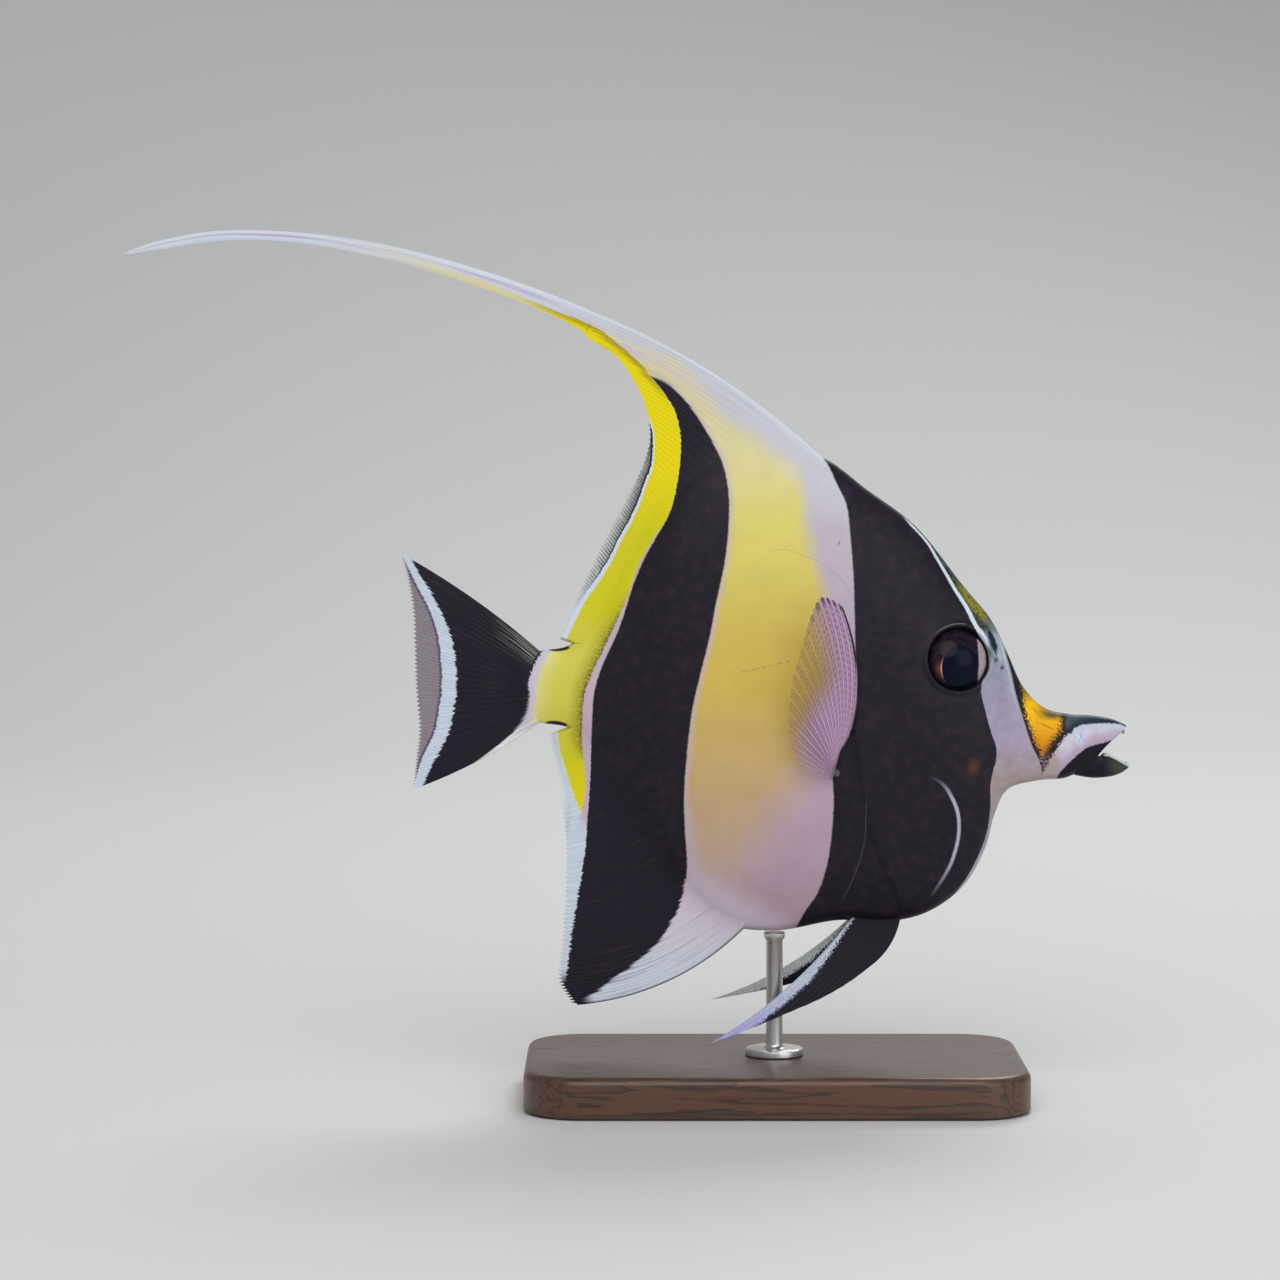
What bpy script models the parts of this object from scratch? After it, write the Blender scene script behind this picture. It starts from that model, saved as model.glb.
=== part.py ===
"""A moorish idol as a still, life-size museum model on a plain display stand.

Sizes below are in millimetres and become metres where a mesh is made. X runs towards the snout,
Y towards the fish's left side and Z up. The origin is the centre of the stand base's underside.
The fish's own tables are measured from its level line, which lies LEVEL_LINE above the floor.
"""

import math

import bmesh
import bpy
import numpy as np
from mathutils import Vector

MM = 0.001
GAP = 0.3  # between neighbouring pieces
WELD = 1e-6  # metres
MIRROR_MERGE = 2e-5  # metres
SHARP_ANGLE = math.radians(40)
SIDES = (("right", -1), ("left", 1))

LEVEL_LINE = 96.0
BASE_LENGTH = 120.0
BASE_WIDTH = 70.0
BASE_HEIGHT = 10.0
BASE_CORNER = 14.0
BASE_EDGE = 2.0
ROD_RADIUS = 2.0
ROD_FOOT_RADIUS = 7.0
ROD_FOOT_HEIGHT = 1.6
ROD_FOOT_EDGE = 0.4
ROD_FILLET = 1.0
ROD_PAD_RADIUS = 2.6
ROD_PAD_HEIGHT = 1.2

# Body sections from the lip back to the tail base: the top point's x and z, the bottom point's
# x and z, the half width, and the half thickness of the top edge and of the bottom edge.
SECTIONS = (
    (84.1, -6.6, 84.0, -7.4, 0.9, 0.4, 0.4),
    (80.6, -4.8, 79.9, -11.0, 2.2, 0.6, 0.9),
    (75.8, -3.7, 76.1, -14.9, 3.1, 0.7, 1.7),
    (70.6, -3.4, 70.3, -18.6, 3.9, 0.8, 1.9),
    (64.6, -1.8, 63.1, -19.4, 4.6, 0.8, 1.6),
    (59.4, 3.5, 55.9, -21.6, 5.6, 0.8, 1.2),
    (55.9, 11.0, 52.6, -28.1, 6.8, 0.9, 1.1),
    (51.8, 19.3, 50.4, -36.2, 8.4, 1.0, 1.3),
    (44.6, 28.1, 45.4, -44.9, 10.0, 0.9, 1.8),
    (33.8, 41.5, 37.0, -51.1, 11.2, 0.8, 2.8),
    (21.8, 50.6, 27.1, -53.5, 11.6, 0.8, 3.3),
    (11.0, 58.3, 15.1, -53.2, 11.6, 0.8, 3.2),
    (-2.4, 61.0, 0.0, -55.7, 10.9, 0.8, 1.8),
    (-14.6, 58.3, -13.2, -53.3, 9.7, 0.8, 0.8),
    (-25.0, 49.9, -24.7, -41.5, 8.2, 0.8, 0.8),
    (-33.4, 37.0, -33.8, -28.8, 6.4, 0.8, 0.8),
    (-41.8, 22.3, -42.0, -14.4, 4.9, 0.8, 0.8),
    (-48.5, 13.7, -48.7, -7.2, 3.7, 0.8, 0.8),
    (-56.2, 11.8, -56.2, -5.5, 2.2, 0.7, 0.7),
)
LIP = 0
SNOUT_REAR = 4.5
NAPE = 9
STEM_FRONT = 15.9
TAIL_BASE = 18
# Power of the rounding of the sections, by station: 0.5 is an ellipse, more is leaner.
FULLNESS = ((0, 0.5), (4, 0.5), (7, 0.58), (11, 0.68), (15, 0.7), (18, 0.5))
# Station of the gill cover's rear edge by height, from -1 at the belly to 1 at the back.
GILL_LINE = ((-1.0, 9.6), (-0.6, 10.3), (-0.15, 10.62), (0.3, 10.5), (1.0, 10.35))
GILL_COVER_RISE = 0.5
GILL_COVER_SPAN = 0.8  # in sections
TAIL_BASE_BULGE = 3.0

# The orbit is a low ring round the eye. Positions are x and z on the body's side.
EYE = (43.6, 10.4)
EYE_RADIUS = 7.3
EYE_DEPTH = 4.2
EYE_SUNK = 2.6
ORBIT_RADIUS = 7.9
ORBIT_RIM = 0.75
ORBIT_RIM_SUNK = 0.15
NOSTRILS = ((52.7, 9.9, 0.65), (54.3, 8.0, 0.5))
NOSTRIL_DEPTH = 1.0
LIP_RADIUS = 0.62
UPPER_LIP_SIDE = 0.94  # share of the snout's half width
UPPER_LIP_RISE = 0.35
LOWER_LIP_SIDE = 0.62  # share of the jaw's half width
LOWER_LIP_DROP = 0.25

# Lower jaw sections from its root forward: top x and z, bottom x and z, half width.
JAW_SECTIONS = (
    (78.3, -13.35, 72.55, -18.2, 2.3),
    (79.9, -12.7, 76.5, -18.8, 2.4),
    (82.1, -13.9, 80.4, -18.5, 2.0),
    (83.9, -14.9, 83.0, -17.7, 1.4),
    (84.9, -15.6, 84.7, -16.6, 0.7),
)
# Flatness of the jaw's sections: half thickness of the lower and upper edge, as shares of width.
JAW_KEEL = 0.2
JAW_FLAT = 0.8

# The leading edge of the long filament, from the dorsal fin's front to its tip, with the depth
# of the filament behind that edge and its thickness.
FILAMENT = (
    (11.0, 58.3, 0.0, 1.6),
    (-6.0, 72.2, 1.5, 1.5),
    (-22.8, 83.0, 3.3, 1.4),
    (-42.0, 92.4, 4.8, 1.3),
    (-66.0, 101.5, 4.0, 1.2),
    (-90.0, 108.2, 3.4, 1.1),
    (-111.6, 111.6, 2.6, 1.0),
    (-132.0, 112.3, 2.4, 0.9),
    (-147.6, 109.7, 2.0, 0.8),
    (-156.0, 106.8, 0.7, 0.6),
)
FILAMENT_CUTS = (("root", 2.985, 5.0), ("mid", 5.0, 6.9), ("tip", 6.9, 9.0))
FILAMENT_STREAKS = 3

# Rays of each fin from front to back: where each one leaves the body, then x and z of its end.
DORSAL_RAYS = (
    (11.06, -40.9, 91.9),
    (11.86, -42.8, 87.5),
    (12.22, -37.2, 81.6),
    (12.82, -31.7, 72.5),
    (13.43, -29.8, 63.8),
    (14.04, -31.7, 55.9),
    (14.65, -35.8, 48.2),
    (15.26, -40.6, 39.4),
    (15.86, -45.4, 29.0),
    (16.47, -49.4, 19.7),
    (17.05, -51.8, 14.6),
)
DORSAL_BOW = 2.7  # of the front ray, which is the fin's leading edge
# Each part of the dorsal fin: name, first and last share of the ray table, number of rays, and
# the share of its width from which its rays stand out, clear of the filament.
DORSAL_PARTS = (
    ("dorsal_fin_front", 0.0, 0.3775, 12, 0.3),
    ("dorsal_fin_rear", 0.3825, 1.0, 20, 0.0),
)
ANAL_RAYS = (
    (12.56, -47.4, -73.8),
    (13.1, -51.0, -67.2),
    (13.7, -50.4, -57.6),
    (14.25, -49.9, -48.0),
    (14.85, -49.7, -37.4),
    (15.45, -50.4, -27.6),
    (16.3, -52.5, -17.3),
    (17.2, -54.8, -8.2),
)
ANAL_BOW = -3.9
ANAL_RAY_COUNT = 26
# Rays of the tail fin from its upper lobe down: share of the tail base, then x and z of the end.
CAUDAL_RAYS = (
    (0.0, -89.0, 34.6),
    (0.12, -87.6, 28.5),
    (0.28, -86.4, 20.5),
    (0.45, -86.1, 11.0),
    (0.6, -85.8, 2.0),
    (0.76, -85.1, -7.5),
    (0.9, -85.9, -15.2),
    (1.0, -86.3, -21.6),
)
CAUDAL_BOW = 1.1  # outwards, of both the outermost rays
CAUDAL_SWAY = 3.0
CAUDAL_RAY_COUNT = 15
PECTORAL_RAYS = (
    (0.0, 15.1, 23.5),
    (0.1, 12.2, 25.3),
    (0.2, 9.6, 25.2),
    (0.32, 7.2, 19.4),
    (0.45, 5.5, 12.7),
    (0.58, 3.8, 6.7),
    (0.7, 2.9, 0.0),
    (0.82, 2.9, -6.7),
    (0.91, 4.3, -11.8),
    (1.0, 6.6, -15.4),
)
PECTORAL_ROOT = ((15.1, -11.3), (13.4, -18.0))
PECTORAL_BOW = 3.7
PECTORAL_RAY_COUNT = 15
PECTORAL_SPREAD = 16.0  # degrees off the body
PECTORAL_STALK = 1.7  # how far the root stands out before the blade turns along the body
PELVIC_RAYS = (
    (0.0, -15.4, -81.8),
    (0.2, -6.5, -78.7),
    (0.4, 3.6, -74.6),
    (0.6, 11.3, -71.3),
    (0.8, 18.0, -67.5),
    (1.0, 24.2, -62.9),
)
PELVIC_ROOT = (17.6, 30.0)  # x of the rear and front of the root, along the belly
PELVIC_ROOT_SIDE = 2.1
PELVIC_BOW = 2.2
PELVIC_RAY_COUNT = 6
# Each pelvic fin: how far it goes sideways for each millimetre from the root, the degrees that
# it is carried higher than the table says, and its length seen from the side.
PELVIC_CARRIAGE = {"right": (0.13, 0.0, 1.0), "left": (0.36, 7.5, 0.9)}

ROOT_THICKNESS = 1.5
RAY_THICKNESS = 0.85
MEMBRANE_THICKNESS = 0.5
MEMBRANE_TAPER = 2.5  # the membrane is this many times as fast as its rays in getting thin
RAY_TIP = 0.6  # how far a ray stands out of the membrane's edge


def smooth_row(rows, at):
    """The row at a station between whole ones, on smooth curves through a table's columns."""
    table = np.asarray(rows, float)
    last = len(table) - 1
    at = min(max(at, 0.0), float(last))
    i = min(int(at), last - 1)
    f = at - i
    here, there = table[i], table[i + 1]
    slope = there - here
    start = slope if i == 0 else 0.5 * (slope + here - table[i - 1])
    end = slope if i == last - 1 else 0.5 * (slope + table[i + 2] - there)
    return (
        here * (1 + 2 * f) * (1 - f) ** 2
        + there * (3 - 2 * f) * f**2
        + start * f * (1 - f) ** 2
        - end * f**2 * (1 - f)
    )


def between(pairs, at):
    """Straight runs through pairs of place and value."""
    places, values = zip(*pairs)
    return float(np.interp(at, places, values))


def mix(a, b, share):
    return a + (b - a) * share


def section(s):
    """Top point, bottom point, half width and edge half thicknesses of the body at station s."""
    top_x, top_z, low_x, low_z, wide, top_edge, low_edge = smooth_row(SECTIONS, s)
    return Vector((top_x, 0, top_z)), Vector((low_x, 0, low_z)), wide, top_edge, low_edge


def on_midplane(s, t):
    """The point at height t, from -1 at the bottom to 1 at the top, of section s."""
    top, low = section(s)[:2]
    return low.lerp(top, (t + 1) / 2)


def half_width(s, t):
    _, _, wide, top_edge, low_edge = section(s)
    edge = mix(low_edge, top_edge, (t + 1) / 2)
    round_part = max(0.0, 1 - t * t) ** between(FULLNESS, s)
    return edge + (wide - edge) * round_part


def gill_station(t):
    """Station of the gill cover's edge at height t, eased over a short span."""
    nearby = [min(max(t + shift, -1.0), 1.0) for shift in (-0.12, -0.06, 0.0, 0.06, 0.12)]
    return sum(between(GILL_LINE, height) for height in nearby) / len(nearby)


def gill_cover(s, t):
    """Extra half width of the gill cover, which ends in a small step at its rear edge."""
    start = gill_station(t) - GILL_COVER_SPAN
    share = min(max((s - start) / GILL_COVER_SPAN, 0.0), 1.0)
    edge_fade = min(1.0, 4 * (1 - abs(t)))
    return GILL_COVER_RISE * share**2 * edge_fade


def station_at(x, z):
    """Section and height (s, t) of the point x, z seen from the side."""
    lower, upper = 0.0, float(TAIL_BASE)
    for _ in range(40):
        s = 0.5 * (lower + upper)
        top, low = section(s)[:2]
        ahead = (top.x - low.x) * (z - low.z) - (top.z - low.z) * (x - low.x)
        if ahead < 0:
            upper = s
        else:
            lower = s
    top, low = section(s)[:2]
    return s, 2 * (z - low.z) / (top.z - low.z) - 1


def side_at(x, z):
    """Half width of the body at x, z seen from the side."""
    s, t = station_at(x, z)
    t = min(max(t, -1.0), 1.0)
    cover = gill_cover(s, t) if s < gill_station(t) else 0.0
    return half_width(s, t) + cover


def side_normal(x, z):
    """Outward normal on the left side at x, z."""
    step = 1.5
    along = (side_at(x + step, z) - side_at(x - step, z)) / (2 * step)
    up = (side_at(x, z + step) - side_at(x, z - step)) / (2 * step)
    return Vector((-along, 1.0, -up)).normalized()


def station_step(s, t, distance):
    """Stations covered by a distance along the body at s, t."""
    reach = 0.02
    here = on_midplane(max(s - reach, 0.0), t)
    there = on_midplane(min(s + reach, float(TAIL_BASE)), t)
    return distance * 2 * reach / max((there - here).length, 1e-6)


def edge_normal(s, t):
    """Direction out of the body's top (t = 1) or bottom (t = -1) edge, in the mid-plane."""
    reach = 0.05
    ahead = on_midplane(max(s - reach, 0.0), t)
    behind = on_midplane(min(s + reach, float(TAIL_BASE)), t)
    run = (behind - ahead).normalized()
    return Vector((run.z, 0, -run.x)) * t


def belly_z(x):
    """Height of the body's lower edge at x, between the nape and the anal fin."""
    lower, upper = float(NAPE), 14.0
    for _ in range(40):
        s = 0.5 * (lower + upper)
        if on_midplane(s, -1).x > x:
            lower = s
        else:
            upper = s
    return on_midplane(s, -1).z


def tail_edge(k):
    """Point of the tail stem's rounded rear edge, k from 0 at the top to 1 at the bottom."""
    top, low = section(TAIL_BASE)[:2]
    point = top.lerp(low, k)
    point.x -= TAIL_BASE_BULGE * (1 - (2 * k - 1) ** 2)
    return point


def turned_up(vector, degrees):
    """Turns a vector in the x, z plane so that one that points back rises."""
    c = math.cos(math.radians(degrees))
    s = math.sin(math.radians(degrees))
    return Vector((c * vector.x + s * vector.z, vector.y, c * vector.z - s * vector.x))


def clear_scene():
    for obj in list(bpy.data.objects):
        bpy.data.objects.remove(obj, do_unlink=True)


def new_collection(name, helpers=False):
    collection = bpy.data.collections.new(name)
    bpy.context.scene.collection.children.link(collection)
    collection.hide_render = helpers
    return collection


def material(name, colour, roughness=0.5, metallic=0.0):
    made = bpy.data.materials.new(name)
    made.use_nodes = True
    shader = made.node_tree.nodes["Principled BSDF"]
    shader.inputs["Base Color"].default_value = (*colour, 1.0)
    shader.inputs["Roughness"].default_value = roughness
    shader.inputs["Metallic"].default_value = metallic
    made.diffuse_color = (*colour, 1.0)
    return made


def add_object(name, bm, collection, finish=None):
    """Turns a mesh in millimetres into a smooth-shaded object in metres."""
    bmesh.ops.scale(bm, vec=(MM, MM, MM), verts=bm.verts)
    bmesh.ops.remove_doubles(bm, verts=bm.verts, dist=WELD)
    mesh = bpy.data.meshes.new(name)
    bm.to_mesh(mesh)
    bm.free()
    mesh.shade_smooth()
    mesh.set_sharp_from_angle(angle=SHARP_ANGLE)
    if finish:
        mesh.materials.append(finish)
    obj = bpy.data.objects.new(name, mesh)
    collection.objects.link(obj)
    return obj


def boolean(obj, other, operation, solver="EXACT"):
    """Joins or cuts with another object, which becomes a hidden helper."""
    other.hide_render = True
    other.display_type = "WIRE"
    modifier = obj.modifiers.new(other.name, "BOOLEAN")
    modifier.operation = operation
    modifier.object = other
    modifier.solver = solver


def mirrored(obj):
    modifier = obj.modifiers.new("both sides", "MIRROR")
    modifier.use_axis = (False, True, False)
    modifier.merge_threshold = MIRROR_MERGE
    return obj


def grid(columns, rows, place, weigh=None):
    """A grid mesh, lifted to the level line, with column i and row j at place(i, j).

    weigh(i, j) is the weight of that vertex in the mesh's first vertex group.
    """
    bm = bmesh.new()
    bmesh.ops.create_grid(bm, x_segments=columns, y_segments=rows, size=1.0)
    weights = bm.verts.layers.deform.verify() if weigh else None
    for vert in bm.verts:
        i = round((vert.co.x + 1) / 2 * columns)
        j = round((vert.co.y + 1) / 2 * rows)
        vert.co = place(i, j) + Vector((0, 0, LEVEL_LINE))
        if weigh:
            vert[weights][0] = weigh(i, j)
    return bm


def half_shell(columns, rows, midpoint, width):
    """Left half of a closed loft, open only at the mid-plane.

    The outermost columns and rows lie on the mid-plane and close the ends and the two edges.
    """

    def place(i, j):
        a = min(max((i - 1) / columns, 0.0), 1.0)
        b = min(max((j - 1) / rows, 0.0), 1.0)
        t = math.sin(math.pi * (b - 0.5))
        point = midpoint(a, t)
        if 0 < i < columns + 2 and 0 < j < rows + 2:
            point.y = width(a, t)
        return point

    return grid(columns + 2, rows + 2, place)


def body_length(name, start, end, columns, rows, collection, finish, cover=False):
    """A length of the body between the stations start(t) and end(t), less half a gap at each."""

    def station(a, t):
        first = start(t) + station_step(start(t), t, GAP / 2)
        last = end(t) - station_step(end(t), t, GAP / 2)
        return mix(first, last, a)

    def midpoint(a, t):
        return on_midplane(station(a, t), t)

    def width(a, t):
        s = station(a, t)
        return half_width(s, t) + (gill_cover(s, t) if cover else 0.0)

    bm = half_shell(columns, rows, midpoint, width)
    return mirrored(add_object(name, bm, collection, finish))


def make_snout(collection, finish, helpers):
    front = lambda t: LIP
    rear = lambda t: SNOUT_REAR
    snout = body_length("snout", front, rear, 12, 12, collection, finish)
    lip = lip_tube("upper_lip", upper_lip_route(), helpers)
    boolean(snout, lip, "UNION", "MANIFOLD")


def make_lower_jaw(collection, finish, helpers):
    last = len(JAW_SECTIONS) - 1

    def midpoint(a, t):
        top_x, top_z, low_x, low_z, _ = smooth_row(JAW_SECTIONS, (1 - a) * last)
        return Vector((low_x, 0, low_z)).lerp(Vector((top_x, 0, top_z)), (t + 1) / 2)

    def width(a, t):
        wide = smooth_row(JAW_SECTIONS, (1 - a) * last)[4]
        edge = wide * mix(JAW_KEEL, JAW_FLAT, (t + 1) / 2)
        return edge + (wide - edge) * math.sqrt(max(0.0, 1 - t * t))

    bm = half_shell(8, 8, midpoint, width)
    jaw = mirrored(add_object("lower_jaw", bm, collection, finish))
    boolean(jaw, lip_tube("lower_lip", lower_lip_route(), helpers), "UNION")


def upper_lip_route():
    """Points of the upper lip's right half from the corner of the mouth to the front."""
    route = []
    for s in (1.55, 1.2, 0.8, 0.4, 0.08):
        _, low, wide = section(s)[:3]
        route.append(Vector((low.x, -wide * UPPER_LIP_SIDE, low.z + UPPER_LIP_RISE)))
    low = section(LIP)[1]
    route.append(Vector((low.x + 0.15, 0, low.z + UPPER_LIP_RISE)))
    return route


def lower_lip_route():
    """Points of the lower lip's right half from the corner of the mouth to the front."""
    route = []
    for k in (0.9, 1.6, 2.4, 3.2, 3.8):
        top_x, top_z, _, _, wide = smooth_row(JAW_SECTIONS, k)
        route.append(Vector((top_x - 0.1, -wide * LOWER_LIP_SIDE, top_z - LOWER_LIP_DROP)))
    top_x, top_z = smooth_row(JAW_SECTIONS, 4.0)[:2]
    route.append(Vector((top_x - 0.1, 0, top_z - LOWER_LIP_DROP)))
    return route


def lip_tube(name, half_route, helpers):
    """A tube along a route and back along its mirror image, thinner at the mouth's corners."""
    other_half = [Vector((p.x, -p.y, p.z)) for p in reversed(half_route[:-1])]
    route = half_route + other_half
    curve = bpy.data.curves.new(name, "CURVE")
    curve.dimensions = "3D"
    curve.bevel_depth = LIP_RADIUS * MM
    curve.bevel_resolution = 1
    curve.use_fill_caps = True
    spline = curve.splines.new("POLY")
    spline.points.add(len(route) - 1)
    for k, place in enumerate(route):
        from_corner = min(k, len(route) - 1 - k)
        lifted = (place + Vector((0, 0, LEVEL_LINE))) * MM
        spline.points[k].co = (*lifted, 1.0)
        spline.points[k].radius = min(1.0, 0.6 + 0.2 * from_corner)
    return as_mesh(bpy.data.objects.new(name, curve), helpers)


def as_mesh(curve_object, helpers):
    """The curve as a closed mesh object of the same name, with the curve removed."""
    helpers.objects.link(curve_object)
    bpy.context.view_layer.update()
    graph = bpy.context.evaluated_depsgraph_get()
    mesh = bpy.data.meshes.new_from_object(curve_object.evaluated_get(graph))
    bm = bmesh.new()
    bm.from_mesh(mesh)
    bmesh.ops.remove_doubles(bm, verts=bm.verts, dist=WELD)
    bmesh.ops.recalc_face_normals(bm, faces=bm.faces)
    bm.to_mesh(mesh)
    bm.free()
    name = curve_object.name
    bpy.data.objects.remove(curve_object, do_unlink=True)
    solid = bpy.data.objects.new(name, mesh)
    helpers.objects.link(solid)
    return solid


def on_side(place, side, out=0.0):
    """Point and outward normal of a place x, z on the left (1) or the right (-1) side."""
    x, z = place
    normal = side_normal(x, z)
    point = Vector((x, side_at(x, z), z)) + normal * out
    to_side = Vector((1, side, 1))
    return point * to_side, normal * to_side


def set_on_side(name, bm, place, side, out, collection, finish=None):
    """Turns a mesh made along +Z to stand on the fish's side, out beyond its surface."""
    point, normal = on_side(place, side, out)
    turn = Vector((0, 0, 1)).rotation_difference(normal).to_matrix()
    bmesh.ops.rotate(bm, cent=(0, 0, 0), matrix=turn, verts=bm.verts)
    bmesh.ops.translate(bm, vec=point + Vector((0, 0, LEVEL_LINE)), verts=bm.verts)
    return add_object(name, bm, collection, finish)


def ellipsoid(radius, depth, segments, rings):
    bm = bmesh.new()
    bmesh.ops.create_uvsphere(bm, u_segments=segments, v_segments=rings, radius=1.0)
    bmesh.ops.scale(bm, vec=(radius, radius, depth), verts=bm.verts)
    return bm


def torus(ring_radius, tube_radius):
    bpy.ops.mesh.primitive_torus_add(
        major_segments=28,
        minor_segments=6,
        major_radius=ring_radius,
        minor_radius=tube_radius,
    )
    made = bpy.context.active_object
    bm = bmesh.new()
    bm.from_mesh(made.data)
    bpy.data.objects.remove(made, do_unlink=True)
    return bm


def make_head(collection, finish, helpers):
    front = lambda t: SNOUT_REAR
    head = body_length("head", front, gill_station, 16, 22, collection, finish, cover=True)
    for label, side in SIDES:
        ring = torus(ORBIT_RADIUS, ORBIT_RIM)
        rim = set_on_side(f"orbit_rim_{label}", ring, EYE, side, -ORBIT_RIM_SUNK, helpers)
        boolean(head, rim, "UNION")
    for label, side in SIDES:
        hollow = ellipsoid(EYE_RADIUS + GAP, EYE_DEPTH + GAP, 24, 12)
        socket = set_on_side(f"socket_{label}", hollow, EYE, side, -EYE_SUNK, helpers)
        boolean(head, socket, "DIFFERENCE")
        for k, (x, z, radius) in enumerate(NOSTRILS):
            pit = ellipsoid(radius, NOSTRIL_DEPTH, 10, 6)
            nostril = set_on_side(f"nostril_{label}_{k}", pit, (x, z), side, 0.0, helpers)
            boolean(head, nostril, "DIFFERENCE")


def make_eyes(collection, finish):
    for label, side in SIDES:
        ball = ellipsoid(EYE_RADIUS, EYE_DEPTH, 24, 12)
        set_on_side(f"eye_{label}", ball, EYE, side, -EYE_SUNK, collection, finish)


def make_torso(collection, finish):
    rear = lambda t: STEM_FRONT
    body_length("torso", gill_station, rear, 16, 24, collection, finish)


def make_tail_stem(collection, finish):
    length = TAIL_BASE - STEM_FRONT

    def station(a, t):
        first = STEM_FRONT + station_step(STEM_FRONT, t, GAP / 2)
        return mix(first, float(TAIL_BASE), a)

    def midpoint(a, t):
        point = on_midplane(station(a, t), t)
        share = (station(a, t) - STEM_FRONT) / length
        point.x -= TAIL_BASE_BULGE * (1 - t * t) * share**3
        return point

    def width(a, t):
        return half_width(station(a, t), t)

    bm = half_shell(8, 12, midpoint, width)
    mirrored(add_object("tail_stem", bm, collection, finish))


def ray_end(table, a):
    """Root value and end point of the ray at the share a of a fin, front to back."""
    root, x, z = smooth_row(table, a * (len(table) - 1))
    return root, Vector((x, 0, z))


def ray_point(root, end, bow, b):
    """Point at the share b of a ray, bowed to its right as it runs from root to end."""
    chord = end - root
    across = Vector((chord.z, 0, -chord.x)).normalized()
    return root.lerp(end, b) + across * bow * 4 * b * (1 - b)


def fin(name, rays, rows, place, collection, finish, root=ROOT_THICKNESS, tips_from=0.0):
    """A membrane with its rays raised as ridges on both faces.

    place(a, b) is a point of the mid-sheet, a across the rays and b along them, from 0 to 1 and
    a little beyond 1 at the tip of a ray. Even columns are rays and odd ones the membrane
    between them. Ray tips stand out of the edge beyond the share tips_from across. The sheet is
    split into triangles before it is thickened, so that both faces have the same ones.
    """
    columns = 2 * rays

    def is_ray(i):
        return i % 2 == 0

    def at(i, j):
        a = i / columns
        b = j / rows
        if j == rows and is_ray(i) and tips_from < a < 1:
            length = (place(a, 1.0) - place(a, 0.9)).length / 0.1
            b += RAY_TIP / max(length, 4 * RAY_TIP)
        return place(a, b)

    def weigh(i, j):
        b = j / rows
        if is_ray(i):
            return mix(root, RAY_THICKNESS, b) / root
        return mix(root, MEMBRANE_THICKNESS, min(1.0, MEMBRANE_TAPER * b)) / root

    bm = grid(columns, rows, at, weigh)
    bmesh.ops.triangulate(bm, faces=bm.faces)
    obj = add_object(name, bm, collection, finish)
    group = obj.vertex_groups.new(name="thickness")
    modifier = obj.modifiers.new("membrane", "SOLIDIFY")
    modifier.thickness = root * MM
    modifier.offset = 0.0
    modifier.vertex_group = group.name


def on_back_or_belly(table, edge, bow, first=0.0, last=1.0):
    """Sheet of a fin along the back (edge 1) or belly (edge -1), or of a share of that fin."""
    front_station, front_end = ray_end(table, 0.0)
    full = (front_end - on_midplane(front_station, edge)).length

    def place(a, b):
        s, end = ray_end(table, mix(first, last, a))
        root = on_midplane(s, edge) + edge_normal(s, edge) * GAP
        length_share = (end - root).length / full
        return ray_point(root, end, bow * length_share**2, b)

    return place


def make_dorsal_fin(collection, finish):
    for name, first, last, rays, tips_from in DORSAL_PARTS:
        place = on_back_or_belly(DORSAL_RAYS, 1, DORSAL_BOW, first, last)
        fin(name, rays, 7, place, collection, finish, tips_from=tips_from)


def make_anal_fin(collection, finish):
    place = on_back_or_belly(ANAL_RAYS, -1, ANAL_BOW)
    fin("anal_fin", ANAL_RAY_COUNT, 7, place, collection, finish)


def make_caudal_fin(collection, finish):
    def place(a, b):
        k, end = ray_end(CAUDAL_RAYS, a)
        root = tail_edge(k) - Vector((GAP, 0, 0))
        point = ray_point(root, end, CAUDAL_BOW * (1 - 2 * a), b)
        point.y = CAUDAL_SWAY * b * b
        return point

    fin("caudal_fin", CAUDAL_RAY_COUNT, 7, place, collection, finish, root=1.3)


def filament_point(k, depth_share):
    """Point of the filament at station k, from its leading edge (0) to its rear edge (1)."""
    reach = 0.05
    last = float(len(FILAMENT) - 1)
    here = smooth_row(FILAMENT, max(k - reach, 0.0))
    there = smooth_row(FILAMENT, min(k + reach, last))
    run = Vector((there[0] - here[0], 0, there[1] - here[1])).normalized()
    x, z, depth, _ = smooth_row(FILAMENT, k)
    return Vector((x, 0, z)) + Vector((-run.z, 0, run.x)) * depth * depth_share


def make_filament(collection, finish):
    for label, start, end in FILAMENT_CUTS:
        length = (filament_point(start + 0.5, 0) - filament_point(start, 0)).length * 2
        first = start + GAP / length

        def place(a, b, first=first, end=end):
            return filament_point(mix(first, end, b), a)

        name = f"dorsal_filament_{label}"
        thickness = smooth_row(FILAMENT, start)[3]
        fin(name, FILAMENT_STREAKS, 7, place, collection, finish, thickness, tips_from=1.0)


def make_pectoral_fin(label, side, collection, finish):
    front = Vector((PECTORAL_ROOT[0][0], 0, PECTORAL_ROOT[0][1]))
    rear = Vector((PECTORAL_ROOT[1][0], 0, PECTORAL_ROOT[1][1]))
    lean = math.tan(math.radians(PECTORAL_SPREAD))
    rows = 8

    def place(a, b):
        k, end = ray_end(PECTORAL_RAYS, a)
        root = front.lerp(rear, k)
        along = max(0.0, (b * rows - 1) / (rows - 1))
        point = ray_point(root, end, PECTORAL_BOW * (1 - a) ** 2, along)
        stalk = PECTORAL_STALK * min(1.0, b * rows)
        reach = (point - root).length
        point.y = side * (side_at(root.x, root.z) + GAP + stalk + lean * reach)
        return point

    name = f"pectoral_fin_{label}"
    fin(name, PECTORAL_RAY_COUNT, rows, place, collection, finish, root=1.2)


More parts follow.
